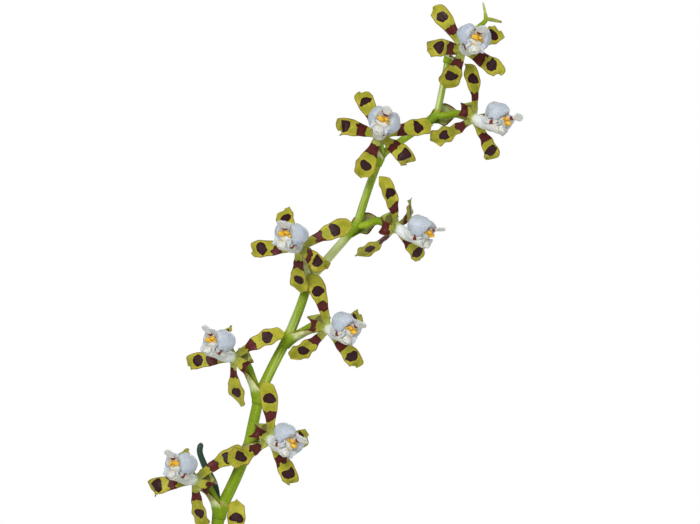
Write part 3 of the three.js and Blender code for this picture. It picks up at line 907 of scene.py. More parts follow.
@dataclass(frozen=True)
class StemFinish(Finish):
    """Fresh green stem. Marks are masks: how deep its green is, how pale and scurfy it is, and how brown."""

    ground: Rgb = (138, 164, 18)
    light: Rgb = (164, 186, 44)
    deep: Rgb = (98, 128, 4)
    node: Rgb = (92, 126, 6)
    pale: Rgb = (208, 216, 162)
    speck: Rgb = (198, 210, 132)
    tan: Rgb = (166, 154, 84)
    brown: Rgb = (76, 44, 24)

    def dress(self, coat: Coat) -> None:
        """Paints the stem, its stalks or its scales.

        Args:
            coat: The material so far.
        """
        node, pale, brown = coat.marks()
        patches, flecks = coat.mottle(0.12, 2.6)
        ribs, lines = coat.veins(0.9, 0.03)
        coat.lay(patches, self.deep)
        coat.lay(ribs, self.light, 0.55)
        coat.lay(lines, self.deep, 0.35)
        specks = coat.clouds(coat.stretch(coat.place, (1, 1, 0.7)), 2.6)
        coat.lay(coat.ramp(specks, 0.55, 0.66), self.speck, 0.24)
        coat.lay(node, self.node, 0.85)
        coat.lay(coat.ramp(coat.math("ADD", pale, ribs), 0.8, 1.15), self.pale, 0.9)
        spent = coat.ragged(brown, flecks, 0.4)
        coat.lay(coat.ramp(spent, 0.12, 0.4), self.tan, 0.85)
        coat.lay(coat.ramp(spent, 0.5, 0.8), self.brown)
        coat.roughen(pale, 0.2)
        coat.relief(0.2, (ribs, 1.5), (coat.grain(2.0)[0], 0.4))


@dataclass(frozen=True)
class LeafFinish(Finish):
    """Leathery green leaf. Marks are how near the margin is, how near the tip is, and how old the leaf is."""

    ground: Rgb = (66, 102, 30)
    deep: Rgb = (44, 78, 20)
    light: Rgb = (104, 134, 48)
    midrib: Rgb = (126, 152, 70)
    back: Rgb = (98, 124, 62)
    old: Rgb = (168, 156, 70)
    dry: Rgb = (122, 84, 44)
    fleck: Rgb = (58, 48, 26)
    dusty: Rgb = (150, 158, 128)

    def dress(self, coat: Coat) -> None:
        """Paints the leaf.

        Args:
            coat: The material so far.
        """
        margin, tip, age = coat.marks()
        patches, flecks = coat.mottle(0.05, 2.6)
        ribs, lines = coat.veins(0.75, 0.012)
        coat.lay(patches, self.deep)
        coat.lay(ribs, self.light, 0.6)
        coat.lay(lines, self.deep, 0.45)
        coat.lay(coat.under(), self.back, 0.6)
        coat.lay(coat.ramp(margin, 0.09, 0.02), self.midrib, 0.6)
        coat.lay(coat.ramp(margin, 0.93, 1.0), self.light, 0.5)
        coat.lay(coat.times(age, coat.ramp(patches, 0.25, 0.9)), self.old)
        spent = coat.ragged(tip, flecks, 0.08)
        coat.lay(coat.ramp(spent, 0.86, 0.96), self.old, 0.7)
        coat.lay(coat.ramp(spent, 0.96, 0.985), self.dry)
        coat.lay(coat.ramp(coat.clouds(coat.place, 0.55), 0.7, 0.76), self.fleck, 0.6)
        dust = coat.dust(0.06, 0.1)
        coat.lay(dust, self.dusty)
        coat.roughen(dust, 0.8)
        coat.relief(0.35, (ribs, 2.0), (coat.grain(1.6)[0], 0.3))


@dataclass(frozen=True)
class BulbFinish(Finish):
    """Waxy green bulb, paler in its furrows and browner at its foot. Marks are furrow, height and age."""

    ground: Rgb = (116, 140, 48)
    deep: Rgb = (84, 110, 32)
    furrow: Rgb = (156, 166, 84)
    aged: Rgb = (150, 132, 62)
    scar: Rgb = (110, 84, 52)

    def dress(self, coat: Coat) -> None:
        """Paints the bulb.

        Args:
            coat: The material so far.
        """
        furrow, height, age = coat.marks()
        patches, flecks = coat.mottle(0.09, 2.6)
        ribs, _ = coat.veins(0.5, 0.06)
        coat.lay(patches, self.deep)
        coat.lay(furrow, self.furrow, 0.6)
        coat.lay(coat.times(age, flecks), self.aged)
        scarred = coat.ragged(height, flecks, 0.3)
        coat.lay(coat.ramp(scarred, 0.3, 0.05), self.scar, 0.8)
        coat.lay(coat.ramp(scarred, 0.95, 1.0), self.scar, 0.7)
        coat.relief(0.35, (ribs, 1.5), (coat.grain(1.2)[0], 0.15))


@dataclass(frozen=True)
class HuskFinish(Finish):
    """Dry papery sheath, tan with darker fibres. Marks' third value is how torn and dark it is."""

    ground: Rgb = (192, 168, 124)
    fibre: Rgb = (138, 108, 70)
    dark: Rgb = (78, 54, 36)

    def dress(self, coat: Coat) -> None:
        """Paints the husk.

        Args:
            coat: The material so far.
        """
        ribs, lines = coat.veins(1.1, 0.05)
        coat.lay(coat.ramp(ribs, 0.3, 0.75), self.fibre, 0.75)
        coat.lay(lines, self.dark, 0.2)
        coat.lay(coat.mottle(0.16, 2.8)[0], self.fibre, 0.35)
        coat.lay(coat.marks()[2], self.dark)
        coat.relief(0.6, (ribs, 1.0))


@dataclass(frozen=True)
class RootFinish(Finish):
    """Silvery spongy root skin with a green growing tip. Marks are tip, soil and brown."""

    ground: Rgb = (196, 194, 174)
    shade: Rgb = (150, 148, 122)
    tip: Rgb = (112, 148, 58)
    soil: Rgb = (98, 76, 54)
    brown: Rgb = (92, 70, 40)

    def dress(self, coat: Coat) -> None:
        """Paints the root.

        Args:
            coat: The material so far.
        """
        tip, soil, brown = coat.marks()
        patches, flecks = coat.mottle(0.2, 2.8)
        swellings, pores = coat.grain(1.5)
        coat.lay(patches, self.shade)
        coat.lay(pores, self.shade, 0.5)
        coat.lay(tip, self.tip)
        coat.lay(coat.ramp(coat.ragged(soil, flecks, 0.8), 0.2, 0.8), self.soil)
        coat.lay(brown, self.brown)
        coat.relief(0.35, (swellings, 1.0))


@dataclass(frozen=True)
class BarkFinish(Finish):
    """Coarse bark chips. Place is a chip's own frame, grain along Z; marks are tone, moss and cut ends."""

    ground: Rgb = (118, 82, 54)
    dark: Rgb = (54, 36, 25)
    light: Rgb = (168, 128, 90)
    moss: Rgb = (88, 104, 44)

    def dress(self, coat: Coat) -> None:
        """Paints the chips.

        Args:
            coat: The material so far.
        """
        tone, mossy, cut = coat.marks()
        patches, flecks = coat.mottle(0.25, 2.6)
        ribs, lines = coat.veins(0.8, 0.12)
        coat.lay(coat.ramp(tone, 0.55, 0.05), self.dark)
        coat.lay(coat.ramp(tone, 0.5, 1.0), self.light, 0.8)
        coat.lay(cut, self.light, 0.6)
        coat.lay(lines, self.dark, 0.6)
        coat.lay(coat.ramp(patches, 0.5, 0.95), self.dark, 0.4)
        coat.lay(coat.dust(0.5, 0.25), self.light)
        coat.lay(coat.times(mossy, coat.ramp(flecks, 0.45, 0.75)), self.moss)
        coat.relief(0.6, (ribs, 2.0), (coat.grain(1.2)[0], 1.0))


@dataclass(frozen=True)
class ClayFinish(Finish):
    """Unglazed clay with a sandy grain, damp lower down and limed near the rim."""

    ground: Rgb = (186, 106, 68)
    deep: Rgb = (158, 82, 50)
    light: Rgb = (208, 138, 98)
    lime: Rgb = (214, 200, 180)
    damp: Rgb = (132, 68, 44)

    def dress(self, coat: Coat) -> None:
        """Paints the pot.

        Args:
            coat: The material so far.
        """
        height = coat.split(coat.place)[2]
        patches, flecks = coat.mottle(0.035, 2.4)
        sand, pores = coat.grain(1.4)
        coat.lay(patches, self.deep)
        coat.lay(flecks, self.light, 0.35)
        coat.lay(pores, self.deep, 0.35)
        damp = coat.weigh((patches, 26.0), plus=height)
        coat.lay(coat.ramp(damp, 34.0, 12.0), self.damp, 0.5)
        crust = coat.ramp(coat.clouds(coat.stretch(coat.place, (1, 1, 0.45)), 0.09, 5.0, 0.62), 0.52, 0.72)
        coat.lay(coat.times(crust, coat.ramp(height, 55.0, 92.0, 0.12, 0.55)), self.lime)
        coat.lay(coat.dust(0.08, 0.45), self.lime)
        coat.relief(0.28, (sand, 0.6), (coat.clouds(coat.place, 0.5, 3.0), 1.0))


@dataclass(frozen=True)
class CoatedWireFinish(Finish):
    """Dark green plastic on wire, scuffed here and there."""

    ground: Rgb = (26, 58, 42)
    light: Rgb = (52, 92, 70)
    scuff: Rgb = (116, 132, 118)

    def dress(self, coat: Coat) -> None:
        """Paints the stake.

        Args:
            coat: The material so far.
        """
        coat.lay(coat.mottle(0.1, 2.2)[0], self.light, 0.5)
        scuffed = coat.ramp(coat.clouds(coat.stretch(coat.place, (1, 1, 0.3)), 0.8, 4.0), 0.62, 0.72)
        coat.lay(scuffed, self.scuff, 0.5)
        coat.roughen(scuffed, 0.25)
        coat.relief(0.12, (coat.grain(2.2)[0], 1.0))


@dataclass(frozen=True)
class FoamFinish(Finish):
    """Soft green foam of a plant tie, with open pores."""

    ground: Rgb = (112, 134, 84)
    pore: Rgb = (66, 84, 48)
    light: Rgb = (146, 164, 114)

    def dress(self, coat: Coat) -> None:
        """Paints the tie.

        Args:
            coat: The material so far.
        """
        swellings, pores = coat.grain(3.2)
        coat.lay(coat.mottle(0.4, 2.0)[0], self.light)
        coat.lay(pores, self.pore, 0.8)
        coat.relief(0.3, (swellings, 1.0))


TEPAL = TepalFinish("barred_tepal", Slot.TEPAL, gloss=0.46, glow=0.2, shine=0.16)
LIP = LipFinish("waxy_lip", Slot.LIP, gloss=0.42, glow=0.3, shine=0.4)
STEM = StemFinish("green_stem", Slot.STEM, gloss=0.45, glow=0.1, shine=0.12)
LEAF = LeafFinish("leathery_leaf", Slot.LEAF, gloss=0.38, glow=0.08, shine=0.4)
BULB = BulbFinish("waxy_bulb", Slot.BULB, gloss=0.42, glow=0.12)
HUSK = HuskFinish("dry_husk", Slot.BULB, gloss=0.75)
ROOT = RootFinish("silver_root", Slot.ROOT, gloss=0.72)
CHIPS = BarkFinish("bark_chips", Slot.BARK, gloss=0.9)
CLAY = ClayFinish("plain_clay", Slot.CLAY, gloss=0.88)
WIRE = CoatedWireFinish("coated_wire", Slot.STAKE, gloss=0.35)
FOAM = FoamFinish("tie_foam", Slot.TIE, gloss=0.85)


# Blooms


@dataclass(frozen=True)
class Tepal:
    """One of a bloom's five blades, in the bloom's own frame: +Z out of its face and +Y towards its lip."""

    at: float  # anticlockwise from +X
    climb: Point3  # how far it leans forward at its foot, halfway and at its tip
    length: float
    outline: Table  # (share of the length, half width)
    twist: float
    band: float  # where its band is, as a share of its length
    spot: float
    curl: float = 0.0  # how much further its tip rolls back
    curl_from: float = 0.76
    curl_over: float = 0.2  # the share of its length in which it rolls back
    swerve: float = 0.0  # how far it turns sideways as it rolls back
    flare: float = 0.0  # how far its margins stand out where the tip rolls back
    wave: float = 0.35

    def rows(self, seed: int) -> Rows:
        """The blade's middle surface.

        Args:
            seed: Sets how this blade differs from its like.

        Returns:
            Its rows, foot to tip.
        """
        roll = Dice(seed)
        heading, bend = self.at + (roll() - 0.5) * 8, (roll() - 0.5) * 12
        band, spot = (self.length * (share + roll.spread(0.025)) for share in (self.band, self.spot))
        phase, crimp, skew = seed * 1.7, 0.8 + roll(), roll.spread(0.55)

        def way(t: float) -> Vector:
            """The way that the blade runs."""
            lower = lerp(self.climb[0], self.climb[1], t * 2)
            upper = lerp(self.climb[1], self.climb[2] + bend, max(0.0, t * 2 - 1) ** 1.6)
            rolled = ease(t, self.curl_from, self.curl_from + self.curl_over)
            return compass(heading + self.swerve * rolled, (lower if t < 0.5 else upper) - self.curl * rolled)

        rows = []
        for t, spine, forward in grown(Vector(), way, self.length, 100):
            across = turn_about(forward, self.twist * (t + 0.4 * ease(t, 0.7, 1))) @ compass(heading - 90)
            above = across.cross(forward)
            rounding = 1 - (max(0.0, t - 0.87) / 0.13) ** 1.7
            half = level(self.outline, t) * (1 + 0.04 * sin(t * 23 + phase)) * max(0.06, rounding)
            sway = self.wave * sin(t * 9 + seed) * min(1.0, t * 2)
            flare = self.flare * ease(t, self.curl_from - 0.04, self.curl_from + 0.16)
            row = []
            for s in columns(7):
                edge = abs(s) ** 1.8
                ripple = 0.11 * crimp * half * abs(s) ** 3 * sin(t * 24 + phase + (2 if s > 0 else 0))
                rise = 0.25 * half * (1 - t) * edge + copysign(edge, s) * sway + ripple * ease(t, 0.1, 0.4)
                rise += flare * abs(s) ** 2.4 - 0.16 * bell(s, 0, 0.13) * (1 - t)
                slant = forward * (skew * s * half * ease(t, 0.8, 1))
                at = spine + across * (s * half) + above * rise + slant
                thick = (0.5 - 0.32 * abs(s) ** 2.5) * (1 - 0.35 * t) + 0.14 * bell(s, 0, 0.16)
                row.append(Knot(at, thick, (s * half, seed * 5.3, t * self.length), (band, spot, abs(s))))
            rows.append(row)
        return rows


SEPAL = Tepal(
    at=42, climb=(2, -18, -52), length=17.6, twist=14, band=0.37, spot=0.68, curl=14, flare=0.3,
    outline=(
        (0, 1.3), (0.2, 1.35), (0.38, 1.75), (0.55, 2.4), (0.7, 2.7), (0.86, 2.4), (0.95, 1.9), (1, 1.5),
    ),
)
BACK_SEPAL = Tepal(
    at=-90, climb=(-18, -34, -50), length=15, twist=5, band=0.32, spot=0.68,
    outline=(
        (0, 1.3), (0.2, 1.4), (0.38, 1.9), (0.55, 2.75), (0.7, 3.25), (0.86, 2.85), (0.95, 2.2), (1, 1.6),
    ),
)
PETAL = Tepal(
    at=-19, climb=(32, 30, -22), length=15.8, twist=20, band=0.43, spot=0.73,
    curl=60, curl_from=0.7, flare=0.9,
    outline=(
        (0, 1.2), (0.2, 1.3), (0.38, 1.8), (0.55, 2.25), (0.72, 2.55), (0.86, 2.25), (0.95, 1.7), (1, 1.2),
    ),
)
TEPALS = (SEPAL, replace(SEPAL, at=138, twist=-14), BACK_SEPAL, PETAL, replace(PETAL, at=199, twist=-20))


@dataclass(frozen=True)
class HoodedLip:
    """The lip and the column that it arches over, in the bloom's own frame."""

    # The hood's sections, from behind (0) to the mouth's rim (1): top, place forward, half width, and how far
    # the section's middle is under its top.
    hood_up: Table = ((0, 1.1), (0.2, 4.4), (0.45, 6.2), (0.75, 6.1), (0.9, 5.3), (1, 4.2))
    hood_forward: Table = ((0, 5.2), (0.2, 5.4), (0.45, 6.6), (0.75, 8.9), (0.9, 10.2), (1, 10.8))
    hood_half: Table = ((0, 1.4), (0.2, 3.6), (0.45, 4.8), (0.75, 4.5), (0.9, 3.6), (1, 2.6))
    hood_drop: Table = ((0, 0.5), (0.2, 2.1), (0.45, 3.2), (0.75, 3.7), (0.9, 3.4), (1, 2.6))
    hood_reach: float = 150.0  # degrees round the hood's section, each way from its middle
    floor_middle: Point3 = (0, 1.9, 10)
    tab_up: Table = ((0, 2.9), (0.3, 3.5), (0.6, 4.3), (1, 5.2))
    tab_forward: Table = ((0, 10.9), (0.3, 12.5), (0.6, 13.9), (1, 15.3))
    tab_half: Table = ((0, 1.1), (0.18, 0.8), (0.36, 0.85), (0.62, 1.35), (0.86, 1.75), (1, 1.5))
    column_from: Point3 = (0, 0, 1.0)
    column_to: Point3 = (0, -1.2, 11.3)
    column_radius: Table = ((0, 1.6), (0.15, 1.85), (0.4, 1.9), (0.65, 1.5), (1, 1.65))
    cap_radii: Point3 = (1.55, 1.2, 0.95)
    throat: Point3 = (0, 0.9, 10)
    throat_radii: Point3 = (2.2, 1.3, 1.4)
    # (middle, radii) of each golden lump; the last one is the sticky patch under the cap.
    lumps: Sequence[tuple[Point3, Point3]] = (
        ((0.8, 2.05, 11.2), (1.05, 0.75, 1.4)),
        ((-0.65, 2.35, 11.0), (0.75, 0.62, 1.25)),
        ((-1.45, 1.75, 10.6), (0.6, 0.35, 0.8)),
        ((0.1, 1.35, 11.0), (0.5, 0.4, 0.8)),
        ((0.15, 3.0, 10.9), (0.45, 0.45, 0.9)),
        ((0.5, -0.1, 10.8), (0.75, 0.5, 0.7)),
    )

    def hood_knot(self, v: float, degrees: float, grown: float, phase: float) -> Knot:
        """A knot of the hood's surface.

        Args:
            v: From behind (0) to the rim (1), and on down to the mouth's floor (1.4).
            degrees: Round the section, from its top.
            grown: How large this side's lobe is.
            phase: Sets how the edge is crimped.

        Returns:
            The knot.
        """
        tables = (self.hood_up, self.hood_forward, self.hood_half, self.hood_drop)
        up, forward, half, drop = (level(table, min(1.0, v)) for table in tables)
        off = abs(degrees)
        angle = radians(degrees) * (1 - 0.14 * ease(off, 50, self.hood_reach) * ease(v, 0.5, 0.95))
        lobe = bell(off, 48, 32)
        notch = bell(degrees, 0, 17) * ease(v, 0.2, 0.8)
        skirt = ease(off, 92, self.hood_reach)
        front, ridge = ease(v, 0.45, 0.95), bell(v, 0.97, 0.06)
        x = sin(angle) * half * grown * (1 + 0.05 * lobe * front)
        y = up - drop * (1 - cos(angle)) - notch * 0.38 * half + lobe * 0.6 * front
        z = forward + lobe * 0.5 * front - skirt * 0.9 * front
        x += copysign(0.22 * ridge, degrees) * lobe
        y += 0.2 * ridge * cos(angle) + 0.13 * sin(v * 15 + phase) * skirt
        z += 0.35 * ridge * lobe + 0.13 * sin(degrees * 0.15 + phase) * front
        at = Vector((x, y, z))
        sunk = max(0.0, (v - 1) / 0.4)
        if sunk:
            at = at.lerp(Vector(self.floor_middle), ease(sunk, 0, 1) ** 0.8 * 0.96)
            at.z -= 0.5 * sin(pi * sunk) * (1 - notch)
        speck = 0.8 * bell(off, 27, 9) * bell(v, 1.02, 0.05)
        cream = max(0.75 * ease(v, 0.95, 1.08) * (0.4 + 0.6 * bell(degrees, 0, 70)), 0.5 * notch, 0.3 * sunk)
        return Knot(at, thick=0.5 - 0.2 * max(skirt, ease(v, 0.85, 1)), marks=(0, cream, speck))

    def hood(self, roll: Dice) -> Rows:
        """The lip's two rounded lobes and the floor of its mouth.

        Args:
            roll: Sets the lobes' sizes and the edge's crimp.

        Returns:
            Rows from behind to the mouth's floor.
        """
        phase, sides = roll() * 6, {False: 1 + roll.spread(0.06), True: 1 + roll.spread(0.06)}
        around = [self.hood_reach * s for s in columns(22)]
        return [[self.hood_knot(i / 30, a, sides[a > 0], phase) for a in around] for i in range(43)]

    def tab(self) -> Rows:
        """The small front lobe, with a dark line across its foot.

        Returns:
            Its rows, foot to tip.
        """

        def knot(v: float, s: float) -> Knot:
            """A knot of the lobe."""
            y = level(self.tab_up, v) + s * s * lerp(0.45, -0.55, v)
            z = level(self.tab_forward, v) - (0.3 * s * s + 0.7 * s**6) * ease(v, 0.5, 1)
            at = Vector((s * level(self.tab_half, v), y, z + 0.16 * cos(s * 7) * ease(v, 0.8, 1)))
            line = 0.9 * bell(v, 0.27, 0.07) + 0.35 * bell(v, 0.27, 0.17)
            return Knot(at, thick=(0.62 - 0.3 * abs(s)) * (1 - 0.35 * v), marks=(0, 0.42, line))

        return grid(18, 7, knot)

    def column(self) -> Rows:
        """The column's shaft, from the middle of the star to under the cap.

        Returns:
            Its rings.
        """
        start, end, steps = Vector(self.column_from), Vector(self.column_to), 22
        bowed = [Vector((0, -0.25 * sin(pi * i / steps), 0)) for i in range(steps + 1)]
        path = [start.lerp(end, i / steps) + off for i, off in enumerate(bowed)]
        long = (end - start).length
        rows = tube(path, lambda at, a: level(self.column_radius, at / long) * (1 + 0.06 * cos(2 * a)), 20)
        creams = (0.25 + 0.4 * i / steps for i in range(steps + 1))
        return [[Knot(knot.at, marks=(0, cream, 0)) for knot in row] for cream, row in zip(creams, rows)]

    def cap(self) -> Rows:
        """The rounded cap at the column's end, with a seam, two creases and a small beak.

        Returns:
            Its rings.
        """
        middle = Vector(self.column_to) + Vector((0, -0.05, 0.5))
        rows = egg(middle, self.cap_radii, 28, 20, rough=0.14)
        for knot in (knot for row in rows for knot in row):
            away = knot.at - middle
            crease = max(bell(away.x, 0, 0.14), bell(abs(away.x) + 0.5 * away.y, 1.0, 0.13))
            beak = bell(hypot(away.x, away.y + 0.6), 0, 0.5) * ease(away.z, 0, 1)
            knot.at += Vector((0, -0.2, 0.5)) * beak - away * (0.13 * crease)
            knot.marks = (0, 0.7 - 0.6 * crease, 0.3 * crease)
        return rows

    def wing(self, side: int, roll: Dice) -> Rows:
        """A small jagged flap beside the cap.

        Args:
            side: -1 or 1.
            roll: Sets how its edge is torn.

        Returns:
            Rows from the column outwards.
        """
        teeth = [roll() for _ in range(9)]

        def knot(v: float, s: float) -> Knot:
            """A knot of the flap."""
            k = round(4 * (s + 1))
            x = side * (1.1 + v * (1.3 + 0.7 * teeth[k] * v * v))
            z = 11.1 + 0.8 * v - 0.5 * s * s + 0.25 * sin(v * 7 + k)
            at = Vector((x, s * (0.8 + 0.7 * v) - 0.7 + 0.4 * v, z))
            return Knot(at, thick=0.42 - 0.22 * v, marks=(0, 0.15, 0.25 * teeth[k] * ease(v, 0.7, 1)))

        return grid(8, 4, knot)

    def ear(self, side: int) -> Rows:
        """A rounded flap along the column, with a red dot near its foot.

        Args:
            side: -1 or 1.

        Returns:
            Rows along the column.
        """
        start, end = Vector((side * 1.5, -0.1, 3.4)), Vector((side * 2.0, -0.4, 10.5))

        def knot(v: float, s: float) -> Knot:
            """A knot of the flap."""
            half = 0.15 + 1.35 * sin(pi * min(1.0, v * 0.86 + 0.1)) ** 0.8
            out = side * (0.55 * sin(pi * v) - 0.6 * s * s)
            at = start.lerp(end, v) + Vector((out, s * half, 0.35 * s))
            dot = 1.2 * bell(hypot((at.y + 1.1) / 0.95, (at.z - 8.6) / 0.65), 0, 0.9)
            edge = 0.3 * ease(abs(s), 0.8, 1) * ease(v, 0.5, 0.9)
            return Knot(at, thick=0.45 - 0.2 * abs(s), marks=(0, 0.5, max(dot, edge)))

        return grid(18, 7, knot)

    def ridges(self, side: int, roll: Dice) -> list[Rows]:
        """The golden lumps in the mouth, larger on one side.

        Args:
            side: -1 or 1, the side that is larger.
            roll: Sets how far each lump is from its usual place.

        Returns:
            Each lump's rings.
        """
        made = []
        for (x, y, z), radii in self.lumps:
            middle = (side * x + roll.spread(0.12), y + roll.spread(0.12), z + roll.spread(0.15))
            lump = egg(middle, radii, 18, 14, 0.4, lambda at, z=z: (ease(at.z, z - 0.7, z + 0.3), 0.8, 0))
            made.append(lump)
        return made

    def draft(self, seed: int) -> Draft:
        """The whole lip.

        Args:
            seed: Sets how it differs from its like.

        Returns:
            The draft, in the bloom's own frame.
        """
        roll, draft = Dice(seed), Draft()
        draft.sheet(self.hood(roll))
        draft.sheet(self.tab())
        draft.skin(self.column())
        draft.skin(self.cap())
        draft.skin(egg(self.throat, self.throat_radii, rough=0.15, marks=lambda at: (0, 0.6, 0)))
        for side in (-1, 1):
            draft.sheet(self.wing(side, roll))
            draft.sheet(self.ear(side))
        for lump in self.ridges(1 if roll() < 0.5 else -1, roll):
            draft.skin(lump)
        return draft


@dataclass(frozen=True)
class Bloom:
    """One bloom: where its star is from the stem's node, and how it faces."""

    number: int
    node: Vector
    offset: Point3
    turn: float  # faces -Y at 0 and +X at 90
    tilt: float
    roll: float  # turns the lip anticlockwise from upright
    curls: Pair  # how far the tips of its right and left petals roll back
    size: float = 1.0
    tepals: Sequence[Tepal] = TEPALS
    lip: HoodedLip = HoodedLip()
    hub: Table = (
        (0.02, -3.2), (1.2, -3.1), (1.45, -2), (1.75, -0.8), (1.85, 0.4), (1.55, 1.2), (0.9, 1.6),
        (0.02, 1.7),
    )

    def place(self) -> Matrix:
        """Where the bloom's own frame is in the shared one.

        Returns:
            The shift and turn.
        """
        out = compass(self.turn - 90, self.tilt)
        right, r = UP.cross(out).normalized(), radians(self.roll)
        lip = out.cross(right) * cos(r) - right * sin(r)
        turn = Matrix((lip.cross(out), lip, out)).transposed().to_4x4()
        return Matrix.Translation(self.node + Vector(self.offset)) @ turn

    def behind(self, distance: float) -> Vector:
        """A point behind the middle of the star."""
        return self.place() @ Vector((0, 0, -distance))

    def stalk(self) -> Bow:
        """The line of its stalk, from the stem's node to behind the star."""
        leaving = self.node + Vector(self.offset).normalized() * 4.5
        return Bow(self.node, leaving, self.behind(7.5), self.behind(5.2))

    def stalk_skin(self) -> Rows:
        """Its ribbed stalk, which is thicker and greener where the seed pod is.

        Returns:
            The rings, from the stem to the star.
        """
        line = self.stalk()
        path = [line.point(u / 22) for u in range(23)] + [self.behind(d) for d in (4.8, 4.2, 3.5, 2.8)]
        long = reaches(path)[-1]

        def radius(at: float, angle: float) -> float:
            """The stalk's radius."""
            return lerp(1.0, 1.28, at / long) * (1 + 0.05 * cos(6 * angle + at * 0.12))

        offset = self.number * 31.0
        return tube(path, radius, 18, lambda at, _: (0.5 * ease(at / long, 0.3, 0.8), 0, 0), offset)

    def grown_tepals(self) -> list[Tepal]:
        """The five blades as this bloom has them: its sepals turn to the front, and its petals roll back.

        Returns:
            The blades.
        """
        turned_front = -14 * max(-1.0, min(1.0, self.turn / 25))
        blades = [replace(blade, length=blade.length * self.size) for blade in self.tepals]
        blades[:2] = [replace(blade, twist=turned_front) for blade in blades[:2]]
        for k, side, curl in zip((3, 4), (-1, 1), self.curls):
            start = lerp(0.8, 0.64, min(1.0, curl / 84))
            blades[k] = replace(blades[k], curl=curl, curl_from=start, flare=curl / 70)
            if curl > 90:
                hooked = {"climb": (12, 0, -10), "curl_from": 0.2, "curl_over": 0.5, "flare": 0.8}
                blades[k] = replace(blades[k], length=blades[k].length * 0.82, swerve=40 * side, **hooked)
        return blades

    def build(self) -> None:
        """Makes the star of five blades and the lip."""
        number, place, star = f"{self.number:02d}", self.place(), Draft()
        hub = turned(self.hub, 24, 0.08, (-20, -20, 0))
        for knot in (knot for row in hub for knot in row):
            knot.place = (knot.at.x, knot.at.y, 1.2 + 4 * ease(knot.at.z, 0.8, -1))
        star.skin(hub)
        for k, tepal in enumerate(self.grown_tepals()):
            star.sheet(tepal.rows(7 + (self.number - 1) * 5 + k))
        star.seat(f"star_{number}", f"bloom_{number}_tepals", TEPAL, place=place)
        self.lip.draft(90 + self.number).seat(f"lip_{number}", f"bloom_{number}_lip", LIP, place=place)


# The spray's stem


